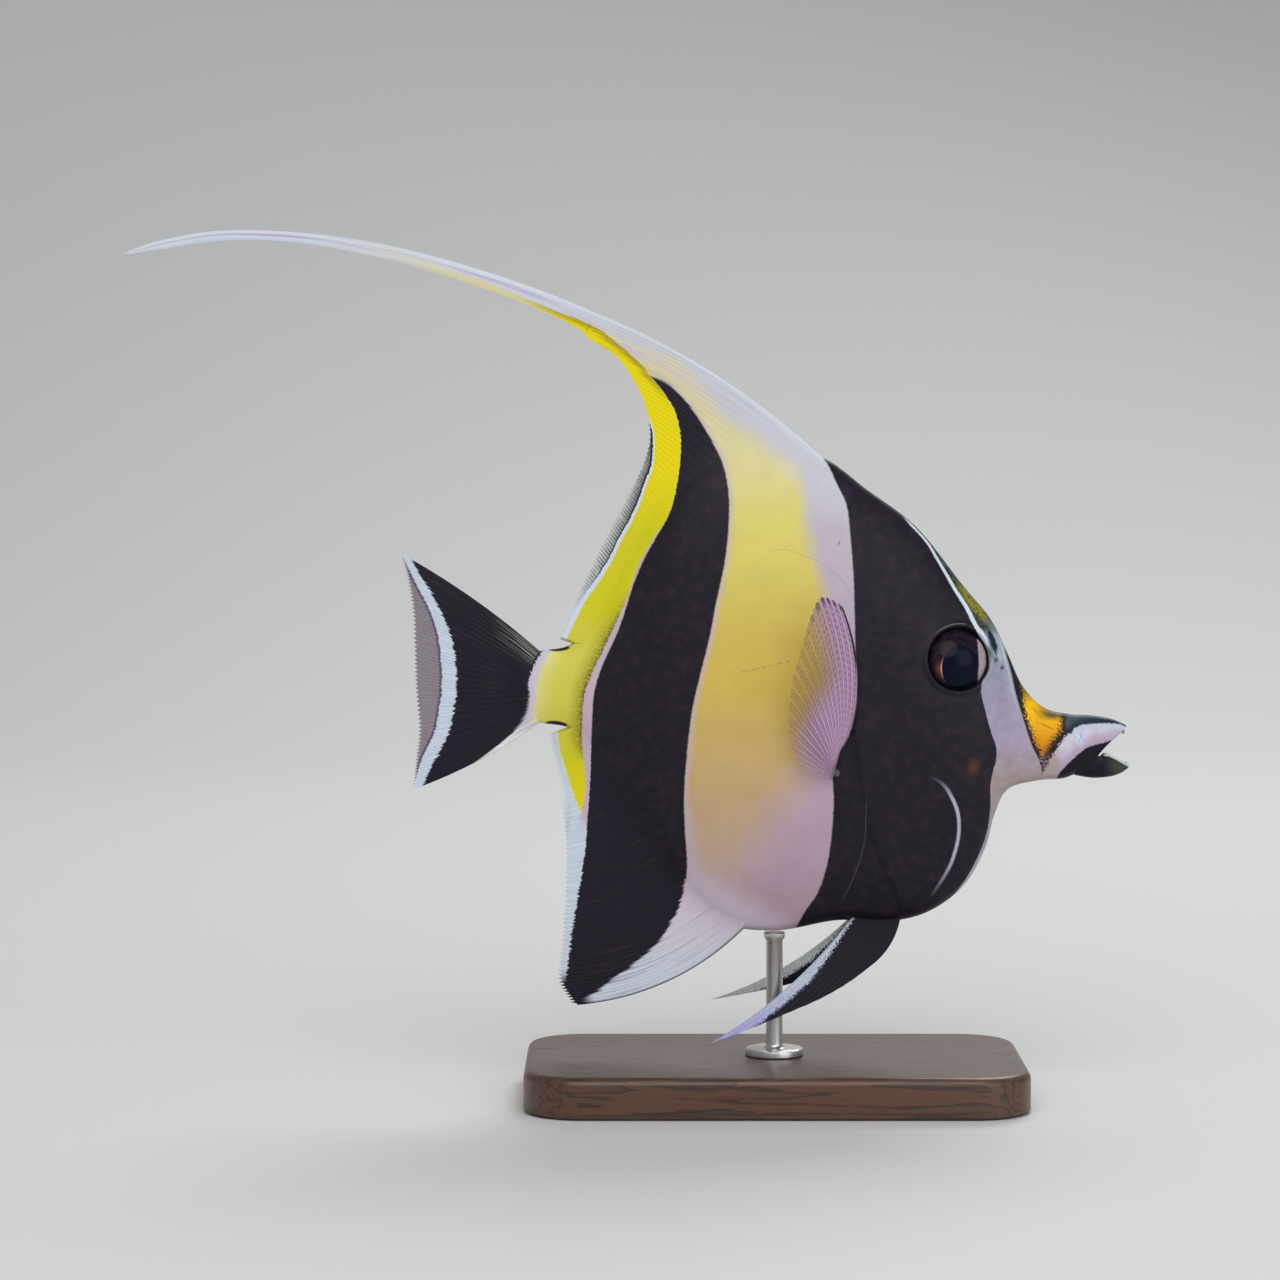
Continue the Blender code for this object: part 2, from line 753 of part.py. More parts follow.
def make_pelvic_fin(label, side, collection, finish):
    rear_x, front_x = PELVIC_ROOT
    spread, lift, length = PELVIC_CARRIAGE[label]
    pivot = Vector((rear_x, 0, belly_z(rear_x) - GAP))

    def place(a, b):
        k, end = ray_end(PELVIC_RAYS, a)
        x = mix(rear_x, front_x, k)
        root = Vector((x, 0, belly_z(x) - GAP))
        carried = pivot + turned_up(end - pivot, lift) * length
        point = ray_point(root, carried, -PELVIC_BOW * (1 - 0.6 * a), b)
        reach = (point - root).length
        point.y = side * (PELVIC_ROOT_SIDE + spread * reach)
        return point

    fin(f"pelvic_fin_{label}", PELVIC_RAY_COUNT, 7, place, collection, finish, root=1.3)


def make_stand_base(collection, finish):
    bm = bmesh.new()
    bmesh.ops.create_cube(bm, size=1.0)
    bmesh.ops.scale(bm, vec=(BASE_LENGTH, BASE_WIDTH, BASE_HEIGHT), verts=bm.verts)
    bmesh.ops.translate(bm, vec=(0, 0, BASE_HEIGHT / 2), verts=bm.verts)
    upright = [edge for edge in bm.edges if edge.verts[0].co.xy == edge.verts[1].co.xy]
    bmesh.ops.bevel(bm, geom=upright, offset=BASE_CORNER, segments=6, profile=0.5, affect="EDGES")
    base = add_object("stand_base", bm, collection, finish)
    bevel = base.modifiers.new("rounded edge", "BEVEL")
    bevel.width = BASE_EDGE * MM
    bevel.segments = 2
    bevel.limit_method = "ANGLE"


def make_stand_rod(collection, finish):
    """A turned rod: a foot on the base, a plain shaft and a small pad under the belly."""
    foot = BASE_HEIGHT + GAP
    shoulder = foot + ROD_FOOT_HEIGHT
    top = LEVEL_LINE + belly_z(0.0) - GAP
    collar = top - ROD_PAD_HEIGHT
    profile = (
        (0.0, top),
        (ROD_PAD_RADIUS, top),
        (ROD_PAD_RADIUS, collar),
        (ROD_RADIUS, collar - ROD_FILLET),
        (ROD_RADIUS, shoulder + ROD_FILLET),
        (ROD_RADIUS + ROD_FILLET, shoulder),
        (ROD_FOOT_RADIUS - ROD_FOOT_EDGE, shoulder),
        (ROD_FOOT_RADIUS, shoulder - ROD_FOOT_EDGE),
        (ROD_FOOT_RADIUS, foot),
        (0.0, foot),
    )
    bm = bmesh.new()
    verts = [bm.verts.new((x, 0, z)) for x, z in profile]
    for upper, lower in zip(verts, verts[1:]):
        bm.edges.new((upper, lower))
    rod = add_object("stand_rod", bm, collection, finish)
    screw = rod.modifiers.new("turned", "SCREW")
    screw.steps = 20
    screw.render_steps = 20
    screw.use_merge_vertices = True
    screw.merge_threshold = WELD


def main():
    clear_scene()
    model = new_collection("moorish_idol")
    helpers = new_collection("helpers", helpers=True)
    black_skin = material("black_skin", (0.03, 0.028, 0.035))
    banded_skin = material("banded_skin", (0.6, 0.48, 0.22))
    orange_skin = material("orange_skin", (0.6, 0.3, 0.05))
    yellow_fin = material("yellow_fin", (0.65, 0.58, 0.03), 0.45)
    white_fin = material("white_fin", (0.7, 0.72, 0.78), 0.45)
    black_fin = material("black_fin", (0.05, 0.05, 0.06), 0.45)
    clear_fin = material("clear_fin", (0.5, 0.35, 0.45), 0.4)
    eye_gloss = material("eye_gloss", (0.02, 0.03, 0.05), 0.15)
    dark_wood = material("dark_wood", (0.09, 0.05, 0.03), 0.45)
    steel = material("steel", (0.6, 0.6, 0.6), 0.3, 1.0)

    make_snout(model, orange_skin, helpers)
    make_lower_jaw(model, black_skin, helpers)
    make_head(model, black_skin, helpers)
    make_eyes(model, eye_gloss)
    make_torso(model, banded_skin)
    make_tail_stem(model, banded_skin)
    make_dorsal_fin(model, yellow_fin)
    make_filament(model, white_fin)
    make_anal_fin(model, black_fin)
    make_caudal_fin(model, black_fin)
    for label, side in SIDES:
        make_pectoral_fin(label, side, model, clear_fin)
        make_pelvic_fin(label, side, model, black_fin)
    make_stand_base(model, dark_wood)
    make_stand_rod(model, steel)


main()
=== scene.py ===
"""Moorish idol display model: the life-size fish on its stand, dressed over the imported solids.

Tables and sizes of the fish are in millimetres. Their x runs towards the snout, y towards the
fish's left side, and z up from the level line, which lies LEVEL above the floor.
"""

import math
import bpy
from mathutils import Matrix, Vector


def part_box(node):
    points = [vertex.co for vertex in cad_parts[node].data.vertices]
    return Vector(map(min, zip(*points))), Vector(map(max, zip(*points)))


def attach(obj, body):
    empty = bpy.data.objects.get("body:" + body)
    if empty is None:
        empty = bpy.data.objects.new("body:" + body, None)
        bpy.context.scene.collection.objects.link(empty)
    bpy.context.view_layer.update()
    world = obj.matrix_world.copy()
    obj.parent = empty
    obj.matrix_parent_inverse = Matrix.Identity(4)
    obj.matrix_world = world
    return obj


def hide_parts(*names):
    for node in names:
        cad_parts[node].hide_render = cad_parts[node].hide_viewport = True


bl_info = {
    "name": "Moorish idol display model",
    "version": (1, 0, 0),
    "blender": (4, 5, 0),
    "location": "3D View > Sidebar > Moorish idol",
    "description": "Builds the skin, eyes, fins and stand of a life-size moorish idol",
    "category": "Object",
}

from contextlib import contextmanager

import bmesh
import bpy
import numpy as np
from bpy.props import FloatProperty, FloatVectorProperty, IntProperty, PointerProperty
from mathutils import Vector

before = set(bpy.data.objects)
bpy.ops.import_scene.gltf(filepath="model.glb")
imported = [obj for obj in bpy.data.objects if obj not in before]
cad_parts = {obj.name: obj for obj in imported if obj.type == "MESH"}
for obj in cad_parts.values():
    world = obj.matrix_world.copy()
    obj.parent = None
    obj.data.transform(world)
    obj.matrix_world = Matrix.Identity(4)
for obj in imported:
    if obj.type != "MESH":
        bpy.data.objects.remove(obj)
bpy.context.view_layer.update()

MM = 0.001
LEVEL = 96.0
SIDES = (("right", -1), ("left", 1))

# Body sections from the lip back to the tail base: the top point's x and z, the bottom point's
# x and z, the half width, and the half thickness of the top edge and of the bottom edge.
SECTIONS = (
    (83.8, -5.8, 83.9, -7.2, 0.9, 0.4, 0.4),
    (80.6, -4.5, 79.9, -11.0, 2.2, 0.6, 0.9),
    (75.8, -3.7, 76.1, -14.9, 3.1, 0.7, 1.7),
    (70.6, -3.4, 70.3, -18.6, 3.9, 0.8, 1.9),
    (64.6, -1.8, 63.1, -19.4, 4.6, 0.8, 1.6),
    (59.4, 3.5, 55.9, -21.6, 5.6, 0.8, 1.2),
    (55.9, 11.0, 52.6, -28.1, 6.8, 0.9, 1.1),
    (51.8, 19.3, 50.4, -36.2, 8.4, 1.0, 1.3),
    (44.6, 28.1, 45.4, -44.9, 10.0, 0.9, 1.8),
    (33.8, 41.5, 37.0, -51.1, 11.2, 0.8, 2.8),
    (21.8, 50.6, 27.1, -53.5, 11.6, 0.8, 3.3),
    (11.0, 58.3, 15.1, -53.2, 11.6, 0.8, 3.2),
    (-2.4, 61.0, 0.0, -55.7, 10.9, 0.8, 1.8),
    (-14.6, 58.3, -13.2, -53.3, 9.7, 0.8, 0.8),
    (-25.0, 49.9, -24.7, -41.5, 8.2, 0.8, 0.8),
    (-33.4, 37.0, -33.8, -28.8, 6.4, 0.8, 0.8),
    (-41.8, 22.3, -42.0, -14.4, 4.9, 0.8, 0.8),
    (-48.5, 13.7, -48.7, -7.2, 3.7, 0.8, 0.8),
    (-56.2, 11.8, -56.2, -5.5, 2.2, 0.7, 0.7),
)
STEM_FRONT = 15.9
TAIL_BASE = 18.0
TAIL_BASE_BULGE = 3.0
# Power of the rounding of the sections, by station: 0.5 is an ellipse, more is leaner.
FULLNESS = ((0, 0.5), (4, 0.5), (7, 0.58), (11, 0.68), (15, 0.7), (18, 0.5))
# Station of the gill cover's rear edge by height, from -1 at the belly to 1 at the back.
GILL_EDGE = ((-1.0, 9.6), (-0.6, 10.3), (-0.15, 10.62), (0.3, 10.5), (1.0, 10.35))
# Lower jaw sections from its root forward: top x and z, bottom x and z, half width.
JAW_SECTIONS = (
    (75.2, -12.2, 70.4, -16.8, 2.7),
    (76.8, -12.5, 71.4, -17.7, 2.6),
    (78.3, -13.35, 72.55, -18.2, 2.3),
    (79.9, -12.7, 76.5, -18.8, 2.4),
    (82.1, -13.9, 80.4, -18.5, 2.0),
    (83.9, -14.9, 83.0, -17.7, 1.4),
    (84.9, -15.6, 84.7, -16.6, 0.7),
)
EYE = (43.6, 10.4)
EYE_RADIUS = 7.5
EYE_DEPTH = 4.2
EYE_SUNK = 2.6
ORBIT_RADIUS = 8.1
NOSTRILS = ((52.7, 9.9, 0.62), (54.3, 8.0, 0.5))
SNOUT_KNOB = (72.7, -9.1)

# Leading edge of the long filament: x, z and the filament's depth behind it.
FILAMENT = (
    (11.0, 58.3, 0.0),
    (-6.0, 72.2, 1.5),
    (-22.8, 83.0, 3.3),
    (-42.0, 92.4, 4.8),
    (-66.0, 101.5, 4.0),
    (-90.0, 108.2, 3.4),
    (-111.6, 111.6, 2.6),
    (-132.0, 112.24, 2.4),
    (-147.6, 109.7, 2.0),
    (-156.0, 106.8, 0.7),
)
# Row of the filament at which it leaves the dorsal fin, and the share of the fin's margin there.
FILAMENT_START = 2.985
FILAMENT_SHARE = 0.1
# Rays of each fin from front to back: where each one leaves the body, then x and z of its end.
DORSAL_RAYS = (
    (11.06, -40.9, 91.9),
    (11.86, -45.4, 87.7),
    (12.22, -37.2, 81.6),
    (12.82, -31.7, 72.5),
    (13.43, -29.8, 63.8),
    (14.04, -31.7, 55.9),
    (14.65, -35.8, 48.2),
    (15.26, -40.6, 39.4),
    (15.86, -45.4, 29.0),
    (16.47, -49.4, 19.7),
    (17.05, -51.8, 14.6),
)
ANAL_RAYS = (
    (12.56, -47.4, -73.8),
    (13.1, -51.0, -67.2),
    (13.7, -50.4, -57.6),
    (14.25, -49.9, -48.0),
    (14.85, -49.7, -37.4),
    (15.45, -50.4, -27.6),
    (16.3, -52.5, -17.3),
    (17.2, -54.8, -8.2),
)
TAIL_RAYS = (
    (0.0, -89.0, 34.6),
    (0.12, -87.6, 28.5),
    (0.28, -86.4, 20.5),
    (0.45, -86.1, 11.0),
    (0.6, -85.8, 2.0),
    (0.76, -85.1, -7.5),
    (0.9, -85.9, -15.2),
    (1.0, -86.3, -21.6),
)
PECTORAL_RAYS = (
    (0.0, 15.1, 23.5),
    (0.1, 12.2, 25.3),
    (0.2, 9.6, 25.2),
    (0.32, 7.2, 19.4),
    (0.45, 5.5, 12.7),
    (0.58, 3.8, 6.7),
    (0.7, 2.9, 0.0),
    (0.82, 2.9, -6.7),
    (0.91, 4.3, -11.8),
    (1.0, 6.6, -15.4),
)
PECTORAL_ROOT = ((15.1, -11.3), (13.4, -18.0))
PELVIC_RAYS = (
    (0.0, -15.4, -81.8),
    (0.2, -6.5, -78.7),
    (0.4, 3.6, -74.6),
    (0.6, 11.3, -71.3),
    (0.8, 18.0, -67.5),
    (1.0, 24.2, -62.9),
)
PELVIC_ROOT = (17.6, 30.0)
# How far each fin's rays bow towards the snout at their middle.
BOW = {"dorsal": 2.7, "anal": -3.9, "tail": 1.1, "pectoral": 3.7, "pelvic": -2.2}
# Columns for each ray, and rows along the rays, of each fin's mesh.
GRID = {
    "dorsal": (8, 84), "anal": (8, 76), "tail": (20, 72), "pectoral": (8, 64), "pelvic": (12, 80),
}
FILAMENT_ROWS = 220
# Degrees at which the pectoral fins stand off the body, and sway of the tail fin to the left.
PECTORAL_LEAN = 16
TAIL_SWAY = 3.0
# Depth inside the body's edge from which the dorsal and anal fin show.
SINK = 3.0
# Depth inside the body's end at which the tail fin starts.
TAIL_SUNK = 1.6
# Each pelvic fin: sideways spread for each millimetre, degrees of lift, length from the side.
PELVIC_CARRIAGE = {"right": (0.13, 0.0, 1.0), "left": (0.36, 7.5, 0.9)}

# Borders of the markings seen from the side, from top to bottom or from back to front.
LINES = {
    "front_band_rear": (
        (10.3, 59.5), (12.5, 56.4), (14.9, 51.1), (16.8, 47.0), (17.5, 41.0), (18.2, 31.7),
        (18.5, 22.6), (18.7, 12.0), (19.0, 1.7), (18.2, -4.3), (16.6, -8.9), (13.7, -13.4),
        (13.4, -17.8), (13.7, -24.5), (12.7, -36.7), (10.3, -45.4), (7.3, -50.2), (5.2, -54.5),
    ),
    "face_rear": (
        (31.2, 43.7), (36.2, 38.2), (38.9, 33.6), (41.0, 30.0), (42.9, 26.6), (45.4, 22.6),
        (47.3, 18.7), (49.2, 15.4), (50.6, 12.0), (50.4, 8.2), (49.2, 3.1), (50.4, -2.4),
        (51.8, -7.4), (53.0, -10.6), (53.0, -13.9), (52.1, -17.0), (51.6, -20.9),
        (51.8, -24.0), (51.4, -29.8), (50.2, -34.6), (48.5, -38.6), (46.8, -42.0),
        (43.9, -46.3),
    ),
    "rear_band_front": (
        (-31.0, 78.2), (-25.4, 75.6), (-20.6, 70.6), (-16.8, 65.0), (-13.0, 57.8),
        (-11.3, 50.2), (-11.3, 42.0), (-12.2, 33.6), (-14.2, 24.0), (-16.1, 14.4),
        (-18.5, 4.8), (-20.4, -4.8), (-21.8, -20.9), (-21.6, -31.0), (-21.1, -40.8),
        (-22.8, -49.2), (-26.4, -56.4), (-30.0, -60.5), (-34.3, -64.1), (-38.4, -67.2),
        (-42.0, -70.1), (-47.3, -73.0),
    ),
    "rear_band_rear": (
        (-51.6, 92.9), (-46.8, 91.0), (-42.0, 88.6), (-36.7, 84.7), (-32.4, 80.6),
        (-29.8, 77.5), (-25.4, 71.8), (-23.3, 66.7), (-22.6, 61.2), (-23.3, 53.5),
        (-25.0, 45.8), (-28.6, 39.1), (-31.4, 34.1), (-34.1, 27.6), (-37.4, 17.5),
        (-41.5, 8.4), (-43.4, 1.9), (-43.9, -5.0), (-44.2, -12.0), (-44.4, -18.7),
        (-44.9, -25.7), (-45.4, -33.6), (-45.8, -38.4), (-47.5, -48.0), (-49.0, -57.6),
        (-49.9, -64.8), (-50.9, -70.8),
    ),
    "pale_line_rear": (
        (-27.6, 42.0), (-32.9, 32.2), (-35.5, 24.7), (-39.6, 15.6), (-43.9, 6.5), (-45.6, 1.9),
        (-46.1, -2.6), (-46.3, -9.6), (-45.6, -16.6), (-45.4, -21.6), (-46.6, -27.4),
    ),
    "upper_white": (
        (-32.4, 71.5), (-29.6, 65.8), (-29.1, 61.0), (-29.5, 56.2), (-30.7, 52.8),
        (-32.4, 48.0), (-34.6, 43.2), (-37.2, 38.4), (-39.6, 33.6), (-42.5, 28.8),
        (-45.4, 25.0), (-47.8, 20.6), (-50.2, 15.8), (-51.1, 13.2),
    ),
    "lower_white_front": (
        (-52.3, -7.2), (-51.6, -12.0), (-50.2, -16.8), (-48.6, -22.1), (-46.8, -26.9),
        (-45.4, -31.2),
    ),
    "lower_white_rear": (
        (-52.8, -8.4), (-51.8, -13.2), (-50.6, -18.0), (-49.8, -22.8), (-49.0, -27.6),
        (-49.2, -33.6), (-49.4, -38.4), (-49.4, -44.4), (-50.2, -50.4), (-50.3, -56.4),
        (-50.4, -62.4), (-50.9, -68.4),
    ),
    "tail_white_front": (
        (-89.0, 36.5), (-86.4, 31.9), (-82.6, 25.7), (-79.7, 19.9), (-78.0, 16.1),
        (-77.0, 11.3), (-76.6, 6.5), (-76.6, 1.7), (-77.3, -3.1), (-78.2, -7.4),
        (-80.2, -11.8), (-82.6, -16.1), (-85.0, -21.4), (-85.9, -23.0),
    ),
    "tail_white_rear": (
        (-90.5, 36.2), (-89.0, 33.4), (-85.9, 27.1), (-83.3, 22.3), (-81.4, 17.0),
        (-80.5, 12.2), (-80.1, 7.4), (-80.2, 1.7), (-80.9, -3.1), (-81.8, -7.9),
        (-83.5, -11.3), (-85.4, -15.6), (-86.9, -20.9),
    ),
    "tail_black_front": (
        (-55.2, 12.7), (-57.8, 8.4), (-59.0, 4.6), (-58.9, 0.7), (-60.1, -4.1), (-64.8, -10.8),
        (-67.2, -13.2),
    ),
    "stem_yellow_rear": (
        (-54.0, 12.0), (-56.6, 6.5), (-57.6, 0.7), (-58.1, -3.6), (-58.8, -5.8),
    ),
    "saddle_rear": ((58.8, 2.4), (59.5, -2.4), (61.4, -8.6), (63.4, -13.4), (64.1, -15.8)),
    "saddle_front": (
        (70.6, -2.9), (69.6, -5.0), (69.4, -7.4), (67.0, -10.6), (65.0, -14.2), (64.1, -15.8),
    ),
    "snout_top": (
        (69.4, -7.7), (70.6, -8.2), (71.8, -6.5), (73.9, -5.8), (79.7, -5.5), (82.6, -5.8),
        (84.7, -6.5),
    ),
    "chin": (
        (67.4, -19.2), (67.4, -18.5), (68.9, -16.3), (71.0, -14.2), (73.2, -12.2),
        (75.4, -10.9), (78.6, -10.2), (80.6, -9.5), (81.8, -9.6), (82.6, -11.0),
    ),
    "brow_stripe": (
        (49.4, 24.0), (51.2, 20.5), (52.8, 17.3), (54.5, 13.9), (55.2, 10.6), (56.2, 7.2),
        (56.9, 3.6), (57.8, 0.0), (58.9, -3.6), (60.8, -9.6), (63.1, -14.4),
    ),
    "gold_front": (
        (5.8, 66.0), (6.2, 56.0), (6.9, 46.0), (8.3, 36.0), (10.8, 26.0), (12.4, 8.0),
        (11.6, -5.0), (8.0, -14.5), (3.0, -22.5), (-3.0, -30.5), (-8.5, -39.0), (-12.5, -48.0),
    ),
    "cheek": (
        (37.9, -18.0), (40.1, -19.7), (42.0, -22.8), (43.4, -26.4), (43.7, -31.2),
        (43.0, -35.3), (41.8, -39.1), (39.6, -43.2), (37.0, -47.3),
    ),
    "breast_line": (
        (21.6, -21.4), (21.4, -27.6), (21.1, -33.6), (19.0, -41.0), (16.8, -46.1),
        (14.6, -49.7),
    ),
    "upper_mouth": ((78.0, -12.5), (79.2, -11.0), (81.4, -9.1), (84.5, -6.7)),
    "lower_mouth": ((78.3, -12.8), (80.4, -13.0), (82.6, -14.2), (84.9, -15.5)),
    "lateral_line": ((-9.6, 7.2), (-3.6, 8.4), (4.1, 10.3)),
    "shoulder_line": (
        (-2.2, 36.0), (1.7, 36.5), (6.0, 35.3), (10.8, 33.1), (14.6, 30.2), (17.5, 26.4),
    ),
}
SKIN_LINES = (
    "front_band_rear", "face_rear", "rear_band_front", "rear_band_rear", "pale_line_rear",
    "stem_yellow_rear", "tail_black_front", "saddle_rear", "saddle_front", "snout_top", "chin",
    "brow_stripe", "cheek", "breast_line", "lower_mouth", "lateral_line", "shoulder_line",
    "gold_front",
)
DORSAL_LINES = (
    "gold_front", "front_band_rear", "rear_band_front", "rear_band_rear", "pale_line_rear",
    "upper_white",
)
ANAL_LINES = (
    "gold_front", "rear_band_front", "rear_band_rear", "pale_line_rear", "lower_white_front",
    "lower_white_rear",
)
TAIL_LINES = ("tail_white_front", "tail_white_rear", "tail_black_front", "stem_yellow_rear")
# Area lights: place, width, power and tint. All face the place LIT.
LIGHTS = {
    "key": ((-0.1, -1.15, 1.15), 1.4, 12.5, (1.0, 0.985, 0.965)),
    "fill": ((0.9, -1.0, 0.4), 1.2, 5.0, (0.96, 0.98, 1.0)),
    "rim": ((0.3, 0.9, 1.1), 0.8, 8.0, (1.0, 1.0, 1.0)),
}
LIT = (-0.02, 0.0, 0.11)
# What the middle of the picture shows, in metres.
SIGHT = (-0.0324, 0.0, 0.1104)


def srgb(red, green, blue):
    """Linear colour of a screen colour given from 0 to 255."""
    shares = [channel / 255 for channel in (red, green, blue)]
    return tuple(c / 12.92 if c <= 0.04045 else ((c + 0.055) / 1.055) ** 2.4 for c in shares)


def colour(name, description, default):
    return FloatVectorProperty(
        name=name, description=description, default=default, size=3, min=0, max=1, subtype="COLOR"
    )


def length(name, description, default_mm):
    return FloatProperty(
        name=name,
        description=description,
        default=default_mm * MM,
        min=0,
        unit="LENGTH",
        precision=5,
    )


def number(name, description, default, least):
    return IntProperty(name=name, description=description, default=default, min=least)


class IDOL_PG_skin(bpy.types.PropertyGroup):
    black: colour("Black", "Colour of both black bands", srgb(23, 19, 32))
    lemon: colour("Lemon", "Yellow high on the flank", srgb(222, 211, 110))
    gold: colour("Gold", "Yellow in the middle of the flank", srgb(212, 184, 84))
    sand: colour("Sand", "Yellow low on the flank", srgb(198, 168, 124))
    lilac: colour("Lilac", "Pale pink of the shoulder", srgb(190, 166, 190))
    belly: colour("Belly", "Pink of the belly", srgb(177, 151, 166))
    face: colour("Face", "Pink of the face in front of the eye", srgb(170, 158, 182))
    white: colour("White", "White of the snout and of pale edges", srgb(214, 212, 224))
    orange: colour("Orange", "Saddle on the snout", srgb(255, 194, 0))
    seam: colour("Seam", "Line between the rear band and the tail stem", srgb(200, 176, 196))
    olive: colour("Olive", "Patch on the forehead and shade on the tail stem", srgb(148, 138, 34))
    stem: colour("Stem", "Yellow of the tail stem", srgb(214, 207, 82))
    yellow: colour("Yellow", "Bright band of the dorsal and anal fin", srgb(238, 220, 0))
    grain: length("Grain", "Width of one scale", 0.36)
    relief: length("Relief", "Height of the scales", 0.02)


class IDOL_PG_eye(bpy.types.PropertyGroup):
    pupil: colour("Pupil", "Colour seen in the pupil", srgb(1, 10, 30))
    iris: colour("Iris", "Dark part of the iris", srgb(22, 18, 30))
    crescent: colour("Crescent", "Pale part of the iris towards the snout", srgb(182, 164, 166))
    ember: colour("Ember", "Reddish part of the iris behind the pupil", srgb(112, 56, 42))


class IDOL_PG_fins(bpy.types.PropertyGroup):
    white: colour("White", "White edges", srgb(208, 218, 231))
    cream: colour("Cream", "Streaks at the rear of the white part", srgb(222, 212, 158))
    mauve: colour("Mauve", "Streaks in the middle of the white part", srgb(186, 172, 200))
    black: colour("Black", "Black part of the fins", srgb(25, 22, 35))
    navy: colour("Navy", "Fine lines beside the white edges", srgb(34, 44, 96))
    blush: colour("Blush", "Rays of the pectoral fins", srgb(200, 166, 198))
    membrane: colour("Membrane", "Skin between the rays of the pectoral fins", srgb(182, 149, 181))
    dorsal_rays: number("Dorsal rays", "Rays at the root of the dorsal fin", 36, 8)
    anal_rays: number("Anal rays", "Rays at the root of the anal fin", 32, 8)
    tail_rays: number("Tail rays", "Rays at the root of the tail fin", 16, 6)
    pectoral_rays: number("Pectoral rays", "Rays of each pectoral fin", 18, 6)
    pelvic_rays: number("Pelvic rays", "Rays of each pelvic fin", 6, 3)
    tips: length("Ray tips", "How far ray tips stand out of the margin", 0.7)


class IDOL_PG_stand(bpy.types.PropertyGroup):
    wood: colour("Wood", "Middle tone of the stained wood", srgb(74, 46, 30))
    grain: colour("Grain", "Dark lines of the wood", srgb(34, 20, 14))
    steel: colour("Steel", "Brushed steel of the rod", (0.55, 0.55, 0.54))
    grain_width: length("Grain width", "Distance between lines of the grain", 3.2)


class IDOL_PG_stage(bpy.types.PropertyGroup):
    distance: length("Distance", "From the camera to the fish", 1000.0)
    lens: FloatProperty(
        name="Lens", description="Focal length", default=117.2, min=10, unit="CAMERA"
    )
    floor: colour("Floor", "Colour of the floor and backdrop", (0.74, 0.74, 0.73))
    azimuth: FloatProperty(
        name="Azimuth",
        description="Turn of the camera round the fish",
        default=0.0,
        subtype="ANGLE",
    )
    elevation: FloatProperty(
        name="Elevation",
        description="Angle at which the camera looks down",
        default=math.radians(3.5),
        subtype="ANGLE",
    )


# Shapes


def rows_at(table, at):
    """Rows of a table at stations between whole ones, on smooth curves through its columns."""
    table = np.asarray(table, float)
    last = len(table) - 1
    at = np.clip(np.asarray(at, float), 0, last)
    i = np.minimum(at.astype(int), last - 1)
    f = (at - i)[..., None]
    here, there = table[i], table[i + 1]
    step = there - here
    before, after = table[np.maximum(i - 1, 0)], table[np.minimum(i + 2, last)]
    start = np.where((i == 0)[..., None], step, 0.5 * (there - before))
    end = np.where((i == last - 1)[..., None], step, 0.5 * (after - here))
    return (
        here * (1 + 2 * f) * (1 - f) ** 2
        + there * (3 - 2 * f) * f**2
        + start * f * (1 - f) ** 2
        - end * f**2 * (1 - f)
    )


def between(pairs, at):
    places, values = zip(*pairs)
    return np.interp(at, places, values)


def mix(a, b, share):
    return a + (b - a) * share


def smooth(low, high, value):
    """Rises smoothly from 0 at low to 1 at high."""
    share = np.clip((np.asarray(value, float) - low) / (high - low), 0, 1)
    return share * share * (3 - 2 * share)


def bell(value, width):
    return np.exp(-((value / width) ** 2))


def smooth_line(points, step=1.6):
    """Evenly spaced points on a smooth curve through the given ones."""
    points = np.asarray(points, float)
    fine = rows_at(points, np.linspace(0, len(points) - 1, 12 * len(points)))
    run = np.concatenate([[0], np.cumsum(np.hypot(*np.diff(fine, axis=0).T))])
    count = max(2, int(run[-1] / step) + 1)
    even = np.linspace(0, run[-1], count)
    return np.stack([np.interp(even, run, fine[:, k]) for k in (0, 1)], -1)


def signed_distance(points, x, z, reach=200.0):
    """Distance from a line that goes straight on at both ends.

    It is positive on the snout's side of a line listed from top to bottom, and above one that
    is listed from back to front.
    """
    line = smooth_line(points)
    first = line[0] + (line[0] - line[1]) / np.hypot(*(line[0] - line[1])) * reach
    last = line[-1] + (line[-1] - line[-2]) / np.hypot(*(line[-1] - line[-2])) * reach
    line = np.vstack([first, line, last])
    best = np.full(x.shape, 1e9)
    sign = np.ones(x.shape)
    for (ax, az), (bx, bz) in zip(line, line[1:]):
        dx, dz = bx - ax, bz - az
        share = np.clip(((x - ax) * dx + (z - az) * dz) / (dx * dx + dz * dz), 0, 1)
        away = (x - ax - share * dx) ** 2 + (z - az - share * dz) ** 2
        nearer = away < best
        best = np.where(nearer, away, best)
        side = dx * (z - az) - dz * (x - ax)
        sign = np.where(nearer, np.where(side >= 0, 1.0, -1.0), sign)
    return np.sqrt(best) * sign


def gill_cover(s, t):
    """Extra half width of the gill cover, which ends in a small soft step."""
    edge = between(GILL_EDGE, t)
    rise = smooth(edge - 0.9, edge - 0.06, s) * (1 - smooth(edge - 0.04, edge + 0.02, s))
    groove = bell(s - edge - 0.03, 0.03)
    low = 1 - smooth(0.05, 0.4, t)
    return (0.5 * rise**2 - 0.12 * groove) * low * np.clip(5 * (1 - np.abs(t)), 0, 1)


